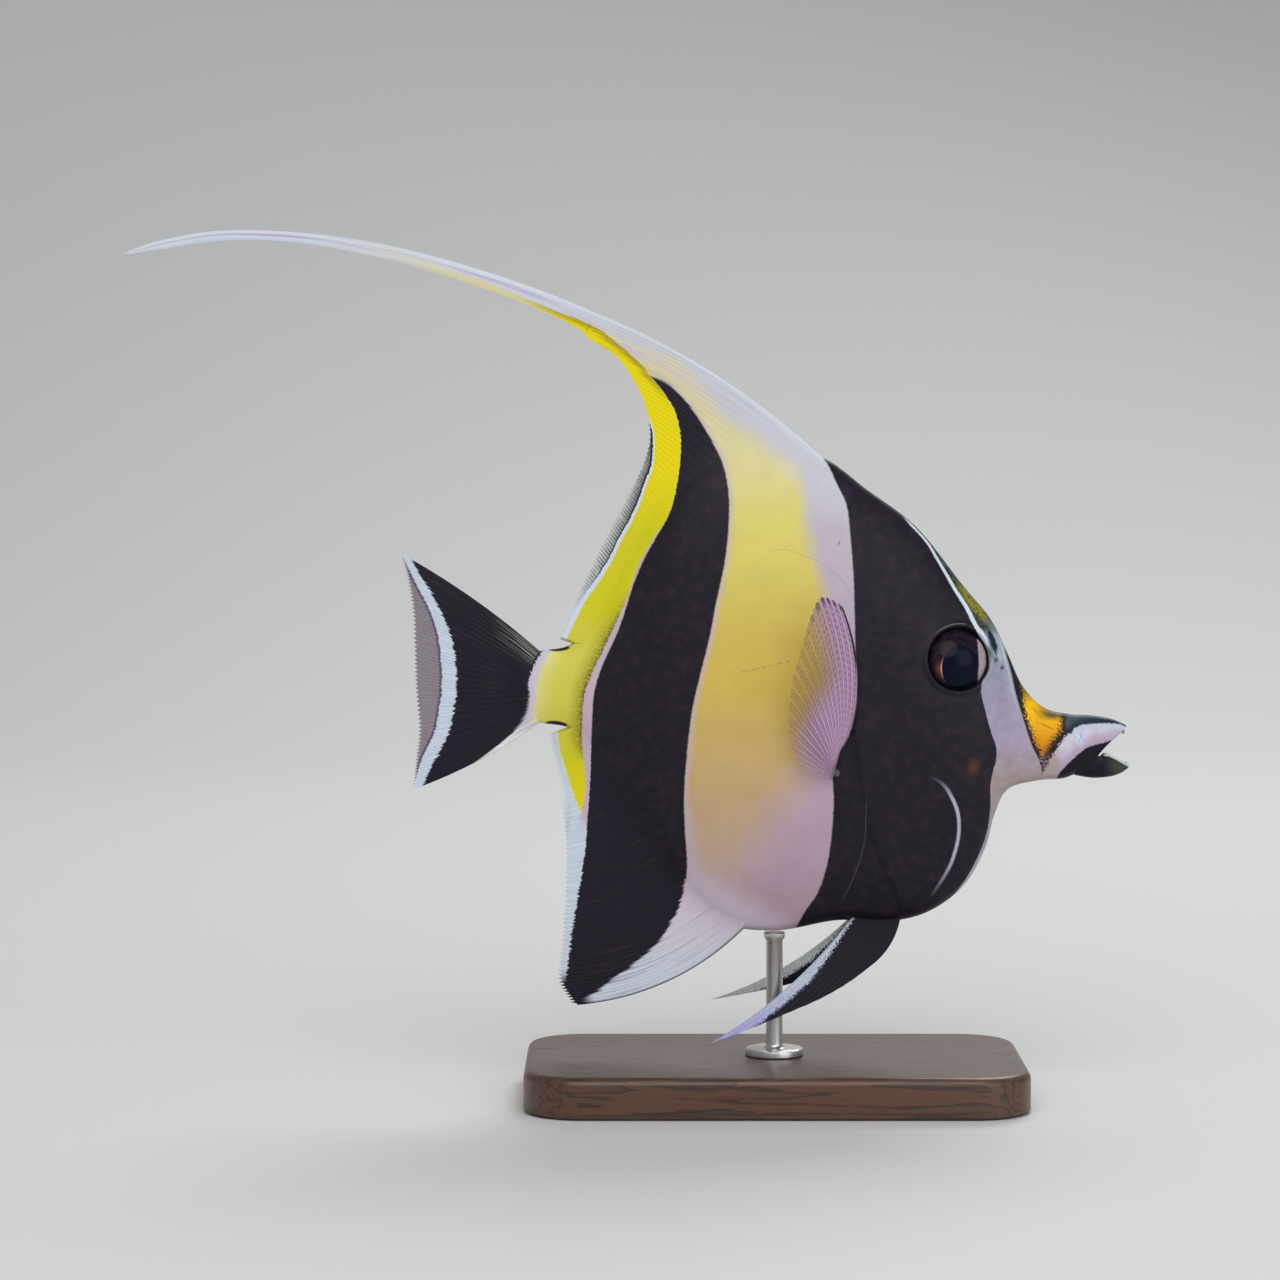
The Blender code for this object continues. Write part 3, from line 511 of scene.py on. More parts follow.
def body_side(s, t):
    """x, y and z of the left side at station s and height t, from -1 below to 1 above."""
    top_x, top_z, low_x, low_z, wide, top_edge, low_edge = np.moveaxis(rows_at(SECTIONS, s), -1, 0)
    share = (t + 1) / 2
    x, z = mix(low_x, top_x, share), mix(low_z, top_z, share)
    edge = mix(low_edge, top_edge, share)
    depth = np.minimum((1 - np.abs(t)) / 2 * np.hypot(top_x - low_x, top_z - low_z), edge)
    rounded = np.sqrt(np.maximum(depth * (2 * edge - depth), 0))
    y = rounded + (wide - edge) * np.maximum(0, 1 - t * t) ** between(FULLNESS, s)
    y = y + gill_cover(s, t)
    stem = np.clip((s - STEM_FRONT) / (TAIL_BASE - STEM_FRONT), 0, 1)
    return x - TAIL_BASE_BULGE * (1 - t * t) * stem**3, y, z


def midplane(s, t):
    """x and z of the point at station s and height t, in the mid-plane."""
    row = rows_at(SECTIONS, s)
    share = (t + 1) / 2
    return mix(row[..., 2], row[..., 0], share), mix(row[..., 3], row[..., 1], share)


def station_at(x, z):
    """Station and height of points seen from the side."""
    lower, upper = np.zeros(np.shape(x)), np.full(np.shape(x), TAIL_BASE)
    for _ in range(36):
        s = (lower + upper) / 2
        top_x, top_z, low_x, low_z = np.moveaxis(rows_at(SECTIONS, s), -1, 0)[:4]
        behind = (top_x - low_x) * (z - low_z) - (top_z - low_z) * (x - low_x) < 0
        upper = np.where(behind, s, upper)
        lower = np.where(behind, lower, s)
    return s, 2 * (z - low_z) / (top_z - low_z) - 1


def side_at(x, z):
    """Half width of the body at points seen from the side."""
    s, t = station_at(np.asarray(x, float), np.asarray(z, float))
    return body_side(s, np.clip(t, -1, 1))[1]


def side_normal(x, z):
    step = 1.5
    ahead = (side_at(x + step, z) - side_at(x - step, z)) / (2 * step)
    up = (side_at(x, z + step) - side_at(x, z - step)) / (2 * step)
    return Vector((-ahead, 1.0, -up)).normalized()


def edge_normal(s, t):
    """x and z of the direction out of the body's top (t = 1) or bottom (t = -1) edge."""
    ahead_x, ahead_z = midplane(s - 0.05, t)
    behind_x, behind_z = midplane(s + 0.05, t)
    run_x, run_z = behind_x - ahead_x, behind_z - ahead_z
    run = np.hypot(run_x, run_z)
    return run_z / run * t, -run_x / run * t


# Meshes


@contextmanager
def editing(mesh):
    """The mesh as a bmesh, which is written back at the end."""
    bm = bmesh.new()
    bm.from_mesh(mesh)
    yield bm
    bm.to_mesh(mesh)
    bm.free()


def to_mesh(name, points, faces, fields=None, weld=2e-6):
    """A closed mesh from points in millimetres from the level line, with a value of each field
    for every point. Points nearer than weld, in metres, become one."""
    mesh = bpy.data.meshes.new(name)
    mesh.from_pydata(((points + (0, 0, LEVEL)) * MM).tolist(), [], faces)
    for field, values in (fields or {}).items():
        add_field(mesh, field, values)
    with editing(mesh) as bm:
        bmesh.ops.remove_doubles(bm, verts=bm.verts, dist=weld)
        bmesh.ops.recalc_face_normals(bm, faces=bm.faces)
    return mesh


def new_object(name, mesh):
    piece = bpy.data.objects.new(name, mesh)
    bpy.context.scene.collection.objects.link(piece)
    return piece


def positions(mesh):
    """Vertex positions in millimetres from the level line."""
    flat = np.empty(len(mesh.vertices) * 3)
    mesh.vertices.foreach_get("co", flat)
    return flat.reshape(-1, 3) / MM - (0, 0, LEVEL)


def normals(mesh):
    flat = np.empty(len(mesh.vertices) * 3)
    mesh.vertex_normals.foreach_get("vector", flat)
    return flat.reshape(-1, 3)


def move_to(mesh, points):
    mesh.vertices.foreach_set("co", ((points + (0, 0, LEVEL)) * MM).ravel())
    mesh.update()


def add_field(mesh, name, values):
    """Stores one number for each vertex under a name that materials read."""
    layer = mesh.attributes.new(name, "FLOAT", "POINT")
    layer.data.foreach_set("value", np.ascontiguousarray(values, dtype=np.float32))


def add_lines(mesh, names):
    x, _, z = positions(mesh).T
    for name in names:
        add_field(mesh, name, signed_distance(LINES[name], x, z))


def shade(mesh, degrees=50):
    mesh.shade_smooth()
    mesh.set_sharp_from_angle(angle=math.radians(degrees))


def ring_faces(count, around, ends=True):
    """Faces between closed rings of points, with the first and the last ring closed by ends."""
    faces = [
        (i * around + j, i * around + k, (i + 1) * around + k, (i + 1) * around + j)
        for i in range(count - 1)
        for j, k in zip(range(around), (*range(1, around), 0))
    ]
    if ends:
        faces += [tuple(range(around)), tuple(range((count - 1) * around, count * around))]
    return faces


def tube_mesh(name, x, y, z):
    """A closed mesh from the left half of a row of rings, each from its bottom to its top."""
    rings = np.stack([x, y, z], -1)
    mirror = rings[:, -2:0:-1] * (1, -1, 1)
    points = np.concatenate([rings, mirror], 1)
    return to_mesh(name, points.reshape(-1, 3), ring_faces(*points.shape[:2]))


def body_stations():
    """Stations of the skin's rings, closer together on the head."""
    fine = np.linspace(0, TAIL_BASE, 1500)
    x, z = midplane(fine, 0.0)
    run = np.concatenate([[0], np.cumsum(np.hypot(np.diff(x), np.diff(z)))])
    spacing = np.where(x > 26, 0.42, 0.75)
    ring = np.concatenate([[0], np.cumsum(np.diff(run) / spacing[1:])])
    return np.interp(np.arange(int(ring[-1]) + 1) * ring[-1] / int(ring[-1]), ring, fine)


def body_mesh():
    """The body from lip to tail base, with a blunt lip and a wedge over the tail fin's root."""
    heights = np.sin(math.pi * (np.linspace(0, 1, 141) - 0.5))
    s, t = np.meshgrid(body_stations(), heights, indexing="ij")
    x, y, z = body_side(s, t)
    mouth = (1 - smooth(0.9, 1.9, s)) * smooth(-0.2, -0.95, t)
    z = z + 0.75 * mouth * bell(y, 0.9)
    lip_x, lip_y, lip_z = [], [], []
    for turn in (1.2, 0.8, 0.4):
        share = math.cos(turn)
        lip_x.append(x[0] + 0.35 * math.sin(turn))
        lip_y.append(y[0] * share)
        lip_z.append(z[0].mean() + (z[0] - z[0].mean()) * share)
    wedge_x, wedge_y, wedge_z = [], [], []
    for share in np.linspace(0.1, 1, 10):
        wedge_x.append(x[-1] - 1.8 * share)
        wedge_y.append(y[-1] * math.sqrt(1 - 0.97 * share**2))
        wedge_z.append(z[-1])
    return tube_mesh(
        "fish_skin",
        np.vstack([lip_x, x, wedge_x]),
        np.vstack([lip_y, y, wedge_y]),
        np.vstack([lip_z, z, wedge_z]),
    )


def jaw_mesh():
    """The lower jaw, with a hollow between its lips."""
    heights = np.sin(math.pi * (np.linspace(0, 1, 49) - 0.5))
    k, t = np.meshgrid(np.linspace(6, 0, 80), heights, indexing="ij")
    top_x, top_z, low_x, low_z, wide = np.moveaxis(rows_at(JAW_SECTIONS, k), -1, 0)
    share = (t + 1) / 2
    edge = wide * mix(0.2, 0.8, share)
    rounding = np.sqrt(np.clip((1 - np.abs(t)) / 0.12, 0, 1))
    y = edge * rounding + (wide - edge) * np.sqrt(np.maximum(0, 1 - t * t))
    x, z = mix(low_x, top_x, share), mix(low_z, top_z, share)
    z = z - 0.7 * smooth(0.3, 0.95, t) * bell(y, 0.45 * wide + 0.05)
    return tube_mesh("jaw", x, y, z)


def joined(mesh, other):
    """The union of two closed meshes as one mesh."""
    piece, tool = new_object("main", mesh), new_object("tool", other)
    modifier = piece.modifiers.new("join", "BOOLEAN")
    modifier.operation = "UNION"
    modifier.solver = "MANIFOLD"
    modifier.object = tool
    graph = bpy.context.evaluated_depsgraph_get()
    union = bpy.data.meshes.new_from_object(piece.evaluated_get(graph))
    bpy.data.objects.remove(piece)
    bpy.data.objects.remove(tool)
    if len(union.polygons) < len(mesh.polygons) / 2:
        raise RuntimeError(f"{mesh.name} and {other.name} weren't joined")
    return union


def refine(mesh, near):
    """Splits the faces at vertices for which near is true into nine."""
    with editing(mesh) as bm:
        edges = [e for e in bm.edges if near[e.verts[0].index] and near[e.verts[1].index]]
        bmesh.ops.subdivide_edges(bm, edges=edges, cuts=2, use_grid_fill=True)


def relax(mesh, near, rounds):
    """Smooths the vertices for which near is true."""
    with editing(mesh) as bm:
        verts = [v for v in bm.verts if near[v.index]]
        for _ in range(rounds):
            bmesh.ops.smooth_vert(
                bm, verts=verts, factor=0.5, use_axis_x=True, use_axis_y=True, use_axis_z=True
            )


def skin_relief(x, z):
    """How far the skin stands out of the plain body, by place seen from the side."""
    from_eye = np.hypot(x - EYE[0], z - EYE[1])
    socket = -3.6 * (1 - smooth(6.9, 7.75, from_eye))
    rim = 0.3 * bell(from_eye - ORBIT_RADIUS, 0.6) - 0.1 * bell(from_eye - 9.4, 0.9)
    relief = socket + rim
    for at_x, at_z, radius in NOSTRILS:
        away = np.hypot(x - at_x, z - at_z)
        relief = relief - 1.1 * bell(away, radius) + 0.22 * bell(away - radius - 0.35, 0.25)
    knob = np.hypot((x - SNOUT_KNOB[0]) / 1.15, (z - SNOUT_KNOB[1]) / 1.4)
    relief = relief + 0.6 * bell(knob, 0.95)
    base = np.hypot((x - 15.2) / 2.6, (z + 14.8) / 4.4)
    relief = relief + 0.5 * bell(base, 1.0)
    cheek = signed_distance(LINES["cheek"], x, z)
    along = np.clip(1 - ((z + 32) / 17) ** 2, 0, 1)
    relief = relief + along * (0.2 * smooth(-1.4, 0, cheek) * (1 - smooth(0, 0.5, cheek)))
    return relief


def lip_relief(x, z, on_jaw):
    """Rolls of the lips along both edges of the mouth."""
    upper = np.abs(signed_distance(LINES["upper_mouth"], x, z) - 0.35)
    lower = np.abs(signed_distance(LINES["lower_mouth"], x, z) + 0.35)
    ahead = smooth(78.2, 79.6, x)
    return ahead * np.where(on_jaw, 0.24 * bell(lower, 0.45), 0.26 * bell(upper, 0.45))


def build_skin():
    """The whole body as one mesh with its sculpted details and marking fields."""
    mesh = joined(body_mesh(), jaw_mesh())
    x, y, z = positions(mesh).T
    seam = (x < 79.6) & (x > 71) & (z < -11.6)
    relax(mesh, seam, 3)
    eye = np.hypot(x - EYE[0], z - EYE[1])
    small = np.zeros(len(x), bool)
    for at_x, at_z in [n[:2] for n in NOSTRILS] + [SNOUT_KNOB]:
        small |= np.hypot(x - at_x, z - at_z) < 2.2
    mouth = (x > 77.5) & (z < -5) & (z > -18)
    refine(mesh, (((eye > 6.4) & (eye < 10.2)) | small | mouth) & (np.abs(y) > 0.3))
    points = positions(mesh)
    x, y, z = points.T
    on_jaw = z < -11.9 - 0.14 * (x - 78)
    away = skin_relief(x, z) * smooth(0.4, 1.2, np.abs(y)) + lip_relief(x, z, on_jaw)
    move_to(mesh, points + normals(mesh) * away[:, None])
    add_lines(mesh, SKIN_LINES)
    shade(mesh, 60)
    return mesh


def ridges(phase):
    """1 on each ray and 0 between two rays, where whole numbers of phase are rays."""
    return (0.5 + 0.5 * np.cos(2 * math.pi * phase)) ** 1.4


def branching(count, forks):
    """Ridge heights of rays that fork in two at each share of their length in forks."""

    def height(a, b):
        phase = a * count
        made = ridges(phase)
        for k, fork in enumerate(forks):
            made = mix(made, ridges(phase * 2 ** (k + 1)), smooth(fork - 0.1, fork + 0.1, b))
        return made

    return height


def fin_sheet(place, columns, rows, ridge, thick, tips=0.0, skip=None, edge=0):
    """Points, faces and fields of a thin fin.

    place(a, b) gives x, y and z, a across the rays and b along them. thick(a, b, r, d, x, z) is
    the half thickness where the ridge height is r and the root d away. Where skip(i, side) is true
    the border strip of column i at the root (side 0) or the margin (side 1) is left open.
    The field "inward" is the distance from the first ray (edge 0) or the last (edge -1).
    """
    a, b = np.meshgrid(np.linspace(0, 1, columns + 1), np.linspace(0, 1, rows + 1), indexing="ij")
    height = ridge(a, b)
    inner = smooth(0.0, 0.01, a) * (1 - smooth(0.99, 1.0, a))
    centre = np.stack(place(a, b + tips * smooth(0.93, 1.0, b) * height * inner), -1)
    steps = np.linalg.norm(np.diff(centre, axis=1), axis=-1)
    away = np.concatenate([np.zeros((columns + 1, 1)), np.cumsum(steps, axis=1)], axis=1)
    half = thick(a, b, height, away, centre[..., 0], centre[..., 2])
    half = half[..., None] * np.array((0, 1, 0))
    count = (columns + 1) * (rows + 1)
    points = np.concatenate([(centre - half).reshape(-1, 3), (centre + half).reshape(-1, 3)])
    index = np.arange(count).reshape(columns + 1, rows + 1)
    front = np.stack([index[:-1, :-1], index[1:, :-1], index[1:, 1:], index[:-1, 1:]], -1)
    front = front.reshape(-1, 4)
    faces = front.tolist() + (front[:, ::-1] + count).tolist()

    def strip(line):
        for p, q in zip(line, line[1:]):
            faces.append((int(p), int(p) + count, int(q) + count, int(q)))

    for side, line in ((0, index[:, 0]), (1, index[:, -1])):
        for i in range(columns):
            if not (skip and skip(i, side)):
                strip(line[i : i + 2])
    strip(index[0])
    strip(index[-1])
    border = centre[edge, :: max(1, rows // 12)][:, [0, 2]]
    inward = signed_distance(border, centre[..., 0], centre[..., 2])
    fields = {"across": a, "along": b, "ridge": height, "inward": np.abs(inward)}
    return points, faces, {name: np.tile(value.ravel(), 2) for name, value in fields.items()}


def fin_object(name, sheets, lines=()):
    """One object from fin sheets that share border vertices, with their fields."""
    points = np.concatenate([sheet[0] for sheet in sheets])
    faces, start = [], 0
    for sheet in sheets:
        faces += [tuple(v + start for v in face) for face in sheet[1]]
        start += len(sheet[0])
    fields = {
        field: np.concatenate([sheet[2][field] for sheet in sheets]) for field in sheets[0][2]
    }
    mesh = to_mesh(name, points, faces, fields, 4e-6)
    add_lines(mesh, lines)
    shade(mesh, 55)
    return new_object(name, mesh)


def ray_point(root, end, bow, b):
    """x and z at the share b of rays that bow to the right as they run from root to end."""
    run_x, run_z = end[0] - root[0], end[1] - root[1]
    span = np.maximum(np.hypot(run_x, run_z), 1e-6)
    bend = bow * 4 * b * (1 - b)
    return root[0] + run_x * b + run_z / span * bend, root[1] + run_z * b - run_x / span * bend


def rooted(b, depth, span):
    """Shares of a ray that starts a depth inside the body, for shares of what is seen of it."""
    return mix(-depth / np.maximum(span, 1e-6), 1.0, b)


def median_place(table, edge, bow):
    """Sheet of a fin along the back (edge 1) or the belly (edge -1)."""
    first_s, first_x, first_z = rows_at(table, 0.0)
    root_x, root_z = midplane(first_s, edge)
    full = math.hypot(first_x - root_x, first_z - root_z)

    def place(a, b):
        s, end_x, end_z = np.moveaxis(rows_at(table, a * (len(table) - 1)), -1, 0)
        out_x, out_z = edge_normal(s, edge)
        root_x, root_z = midplane(s, edge)
        root = (root_x + 0.3 * out_x, root_z + 0.3 * out_z)
        span = np.hypot(end_x - root[0], end_z - root[1])
        b = rooted(b, 2 * SINK, span)
        x, z = ray_point(root, (end_x, end_z), bow * (span / full) ** 2, b)
        return x, np.zeros_like(x), z

    return place


def filament_place(a, b):
    """Sheet of the filament, which goes on from the front of the dorsal fin's margin."""
    last = float(len(FILAMENT) - 1)
    k = mix(FILAMENT_START, last, b)
    here, there = rows_at(FILAMENT, k - 0.05), rows_at(FILAMENT, k + 0.05)
    run_x, run_z = there[..., 0] - here[..., 0], there[..., 1] - here[..., 1]
    run = np.hypot(run_x, run_z)
    x, z, depth = np.moveaxis(rows_at(FILAMENT, k), -1, 0)
    depth = depth * np.sqrt(np.clip((last - k) / 0.18, 0.02, 1))
    x, z = x - run_z / run * depth * a, z + run_x / run * depth * a
    from_fin = median_place(DORSAL_RAYS, 1, BOW["dorsal"])(a * FILAMENT_SHARE, np.ones_like(a))
    settle = smooth(0.0, 0.06, b)
    return mix(from_fin[0], x, settle), np.zeros_like(x), mix(from_fin[2], z, settle)


def tail_place(a, b):
    """Sheet of the tail fin, which sways to the left."""
    k, end_x, end_z = np.moveaxis(rows_at(TAIL_RAYS, a * (len(TAIL_RAYS) - 1)), -1, 0)
    root_x, root_z = midplane(np.full_like(k, TAIL_BASE), 1 - 2 * k)
    root_x = root_x - TAIL_BASE_BULGE * (1 - (2 * k - 1) ** 2) - 0.3
    span = np.hypot(end_x - root_x, end_z - root_z)
    b = rooted(b, TAIL_SUNK, span)
    x, z = ray_point((root_x, root_z), (end_x, end_z), BOW["tail"] * (1 - 2 * a), b)
    return x, TAIL_SWAY * np.maximum(b, 0) ** 2, z


def pectoral_place(side):
    (front_x, front_z), (rear_x, rear_z) = PECTORAL_ROOT
    lean = math.tan(math.radians(PECTORAL_LEAN))

    def place(a, b):
        k, end_x, end_z = np.moveaxis(rows_at(PECTORAL_RAYS, a * (len(PECTORAL_RAYS) - 1)), -1, 0)
        root_x, root_z = mix(front_x, rear_x, k), mix(front_z, rear_z, k)
        blade = np.maximum(0, (b - 0.08) / 0.92)
        bow = BOW["pectoral"] * (1 - a) ** 2
        x, z = ray_point((root_x, root_z), (end_x, end_z), bow, blade)
        stalk = mix(-1.0, 2.0, smooth(0, 0.14, b))
        reach = np.hypot(x - root_x, z - root_z)
        cup = 0.9 * np.sin(math.pi * a) * np.sin(math.pi * np.minimum(blade, 1)) ** 2
        y = side_at(root_x, root_z) + stalk + lean * reach - cup
        return x, side * y, z

    return place


def belly_z(x):
    """Height of the body's lower edge at x, behind the throat."""
    s = np.linspace(9, 14, 400)
    edge_x, edge_z = midplane(s, -1.0)
    return np.interp(x, edge_x[::-1], edge_z[::-1])


def pelvic_place(label, side):
    rear_x, front_x = PELVIC_ROOT
    spread, lift, size = PELVIC_CARRIAGE[label]
    turn = math.radians(lift)
    pivot_z = float(belly_z(rear_x)) - 0.3

    def place(a, b):
        k, end_x, end_z = np.moveaxis(rows_at(PELVIC_RAYS, a * (len(PELVIC_RAYS) - 1)), -1, 0)
        root_x = mix(rear_x, front_x, k)
        root_z = belly_z(root_x) - 0.3
        dx, dz = end_x - rear_x, end_z - pivot_z
        tip_x = rear_x + (math.cos(turn) * dx + math.sin(turn) * dz) * size
        tip_z = pivot_z + (math.cos(turn) * dz - math.sin(turn) * dx) * size
        span = np.hypot(tip_x - root_x, tip_z - root_z)
        b = rooted(b, 2.0, span)
        bow = BOW["pelvic"] * (1 - 0.6 * a)
        x, z = ray_point((root_x, root_z), (tip_x, tip_z), bow, b)
        y = 2.1 + spread * np.hypot(x - root_x, z - root_z) * np.sign(b)
        return x, side * y, z

    return place


def even_flare(extra):
    """Extra thickness at a fin's root, the same for all its rays."""
    return lambda a, away: extra * np.exp(-away / 2.2)


def tapered(root, margin, groove, flare):
    """Half thickness of a fin from root to margin.

    The skin between two rays is thinner by the groove. flare(a, d) is what the fin is thicker
    at the distance d from its root, so that it grows out of the body in a hollow curve.
    """

    def thick(a, b, ridge, away, x, z):
        inset = np.minimum(a, 1 - a)
        plain = mix(root, margin, b) - groove * (1 - ridge) * np.minimum(1, 4 * b)
        rounding = 0.4 + 0.6 * np.sqrt(smooth(0, 0.012, inset))
        return 0.5 * (plain * rounding + flare(a, away) * np.sqrt(smooth(0, 0.03, inset)))

    return thick


def tail_thick(a, b, ridge, away, x, z):
    """Half thickness of the tail fin, flush with the end of the body at its root."""
    own = tapered(1.3, 0.34, 0.12, even_flare(0.0))(a, b, ridge, away, x, z)
    k = rows_at(TAIL_RAYS, a * (len(TAIL_RAYS) - 1))[..., 0]
    end = body_side(np.full_like(k, TAIL_BASE), 1 - 2 * k)[1] - 0.03
    beyond = np.maximum(away - TAIL_SUNK, 0)
    return own + np.maximum(end - own, 0) * np.exp(-((beyond / 3.6) ** 2))


def median_thick(edge, margin, groove):
    """Half thickness of the dorsal (edge 1) or anal fin (edge -1).

    From SINK inside the body's edge outwards it goes on from the body's side at the same slope
    and runs out in a hollow curve, so that no step shows between body and fin.
    """
    plain = tapered(0.9, margin, groove, even_flare(0.0))

    def thick(a, b, ridge, away, x, z):
        s, t = station_at(x, z)
        tall = np.hypot(*(np.array(midplane(s, 1.0)) - midplane(s, -1.0)))
        beyond = np.maximum(SINK - (1 - edge * t) / 2 * tall, 0)
        at_start, deeper = (
            body_side(s, edge * (1 - 2 * depth / tall))[1] for depth in (SINK, SINK + 0.5)
        )
        own = plain(a, b, ridge, away, x, z)
        extra = np.maximum(at_start - 0.04 - own, 0.03)
        fade = extra * np.exp(-beyond * (deeper - at_start) / 0.5 / extra)
        return own + fade * np.sqrt(smooth(0, 0.02, np.minimum(a, 1 - a)))

    return thick


# Materials


class Graph:
    """Adds nodes to a material. Its methods take numbers, colours or sockets."""

    def __init__(self, name):
        self.material = bpy.data.materials.new(name)
        self.material.use_nodes = True
        self.tree = self.material.node_tree
        self.shader = self.tree.nodes["Principled BSDF"]
        self.place = self.add("ShaderNodeTexCoord", out="Object")

    def add(self, kind, *values, out=0, **settings):
        node = self.tree.nodes.new(kind)
        for key, value in settings.items():
            setattr(node, key, value)
        for socket, value in zip(node.inputs, values):
            self.put(socket, value)
        return node.outputs[out]

    def put(self, socket, value):
        if value is None:
            return
        if isinstance(value, bpy.types.NodeSocket):
            self.tree.links.new(value, socket)
        elif socket.type == "RGBA":
            socket.default_value = (*value, 1.0)
        else:
            socket.default_value = value

    def field(self, name):
        return self.add("ShaderNodeAttribute", out="Fac", attribute_name=name)

    def maths(self, operation, a, b=None, c=None):
        return self.add("ShaderNodeMath", a, b, c, operation=operation)

    def axis(self, name):
        """x, y or z in millimetres, z from the level line."""
        value = self.add("ShaderNodeSeparateXYZ", self.place, out="XYZ".index(name.upper()))
        return self.plus(value, 1 / MM, -LEVEL if name == "z" else 0.0)

    def plus(self, value, share, other):
        """The share of value, added to the other."""
        return self.maths("MULTIPLY_ADD", value, share, other)

    def most(self, *masks):
        made = masks[0]
        for mask in masks[1:]:
            made = self.maths("MAXIMUM", made, mask)
        return made

    def step(self, value, low, high):
        """Rises smoothly from 0 at low to 1 at high."""
        if low > high:
            return self.maths("SUBTRACT", 1.0, self.step(value, high, low))
        return self.add(
            "ShaderNodeMapRange", value, low, high, 0.0, 1.0, interpolation_type="SMOOTHSTEP"
        )

    def scale(self, value, low, high, to_low, to_high):
        return self.add("ShaderNodeMapRange", value, low, high, to_low, to_high)

    def both(self, *masks):
        """1 where all masks are 1."""
        made = masks[0]
        for mask in masks[1:]:
            made = self.maths("MULTIPLY", made, mask)
        return made

    def band(self, value, middle, half, soft):
        """1 where value is within half of middle."""
        away = self.maths("ABSOLUTE", self.maths("SUBTRACT", value, middle))
        return self.step(away, half + soft, half - soft)

    def mix(self, share, a, b, blend="MIX"):
        node = self.tree.nodes.new("ShaderNodeMix")
        node.data_type = "RGBA"
        node.blend_type = blend
        for socket, value in zip((node.inputs[0], node.inputs[6], node.inputs[7]), (share, a, b)):
            self.put(socket, value)
        return node.outputs[2]

    def paint(self, made, tint, *masks):
        """The colour with the tint laid over it where all masks are 1."""
        return self.mix(self.both(*masks), made, tint)

    def spot(self, x, z, half_x, half_z, turn=0.0):
        """Distance from a place seen from the side, 1 on an ellipse turned by degrees."""
        place = self.add("ShaderNodeMapping", self.place, vector_type="TEXTURE")
        node = place.node
        node.inputs["Location"].default_value = (x * MM, 0, (z + LEVEL) * MM)
        node.inputs["Rotation"].default_value = (0, math.radians(turn), 0)
        node.inputs["Scale"].default_value = (half_x * MM, 1e6, half_z * MM)
        return self.add("ShaderNodeVectorMath", place, operation="LENGTH", out=1)

    def noise(self, size_mm, detail=2.0, stretch=None, rough=0.5):
        """Noise with features of about size_mm, stretched along axes by shares."""
        place = self.place
        if stretch:
            place = self.add("ShaderNodeVectorMath", place, stretch, operation="MULTIPLY")
        return self.add("ShaderNodeTexNoise", place, None, 1 / (size_mm * MM), detail, rough)

    def grains(self, size_mm, detail, low, high):
        """1 where noise is past high, and 0 where it is short of low."""
        return self.step(self.noise(size_mm, detail), low, high)

    def uneven(self, size_mm, detail, low, high):
        """Noise that mostly lies between low and high."""
        return self.scale(self.noise(size_mm, detail), 0.3, 0.7, low, high)

    def wobble(self, value, size_mm, height):
        """The value with noise of that height added to it."""
        shift = self.scale(self.noise(size_mm, 3.0), 0, 1, -height, height)
        return self.maths("ADD", value, shift)

    def ramp(self, value, *stops):
        node = self.tree.nodes.new("ShaderNodeValToRGB")
        elements = node.color_ramp.elements
        while len(elements) < len(stops):
            elements.new(0.5)
        low, high = stops[0][0], stops[-1][0]
        for element, (place, tint) in zip(elements, stops):
            element.position = (place - low) / (high - low)
            element.color = (*tint, 1.0)
        self.put(node.inputs[0], self.scale(value, low, high, 0.0, 1.0))
        return node.outputs[0]

    def bump(self, height, distance_mm, strength):
        return self.add("ShaderNodeBump", strength, distance_mm * MM, None, height)

    def finish(self, **inputs):
        for name, value in inputs.items():
            self.put(self.shader.inputs[name.replace("_", " ")], value)
        return self.material


def blend(first, second, share):
    """A colour part way between two."""
    return tuple(mix(np.array(first), np.array(second), share))


# Whites of the dorsal and of the anal fin's root, which run on over the body.
ROOT_WHITE = srgb(199, 198, 208)
PINK_WHITE = srgb(214, 204, 218)


def flank(g, skin):
    """Yellow and lilac between the two black bands, white at the dorsal fin's root."""
    z = g.axis("z")
    gold = g.ramp(
        z,
        (-42.0, blend(skin.sand, skin.lilac, 0.35)),
        (-22.0, skin.sand),
        (-8.0, blend(skin.sand, skin.gold, 0.5)),
        (4.0, skin.gold),
        (16.0, blend(skin.gold, skin.lemon, 0.2)),
        (42.0, skin.lemon),
        (60.0, blend(skin.lemon, skin.white, 0.3)),
    )
    pale = srgb(192, 180, 194)
    lilac = g.ramp(z, (-54.0, skin.belly), (-12.0, skin.lilac), (40.0, pale), (56.0, ROOT_WHITE))
    softness = g.scale(z, -36.0, 24.0, 10.0, 2.2)
    ahead = g.maths("DIVIDE", g.wobble(g.field("gold_front"), 8.0, 2.6), softness)
    made = g.mix(g.step(ahead, -1.0, 1.1), gold, lilac)
    made = g.paint(made, ROOT_WHITE, g.step(g.wobble(dorsal_height(g), 3.0, 3.0), 54.0, 64.0))
    shade = g.uneven(6.0, 5.0, 0.96, 1.03)
    made = g.mix(1.0, made, shade, "MULTIPLY")
    width = g.scale(z, -22.0, -40.0, 1.8, 6.0)
    rear = g.maths("DIVIDE", g.wobble(g.field("rear_band_front"), 1.5, 0.3), width)
    made = g.paint(made, blend(skin.white, skin.lilac, 0.7), g.step(rear, 1.0, 0.1), 0.55)
    low = g.step(g.wobble(anal_height(g), 3.0, 2.0), -47.0, -57.0)
    return g.paint(made, srgb(206, 190, 207), low)


def dorsal_height(g):
    """Height over a slanting line, which the white of the dorsal fin follows on the back."""
    back = g.most(g.axis("x"), -30.0)
    return g.plus(back, 0.85, g.axis("z"))


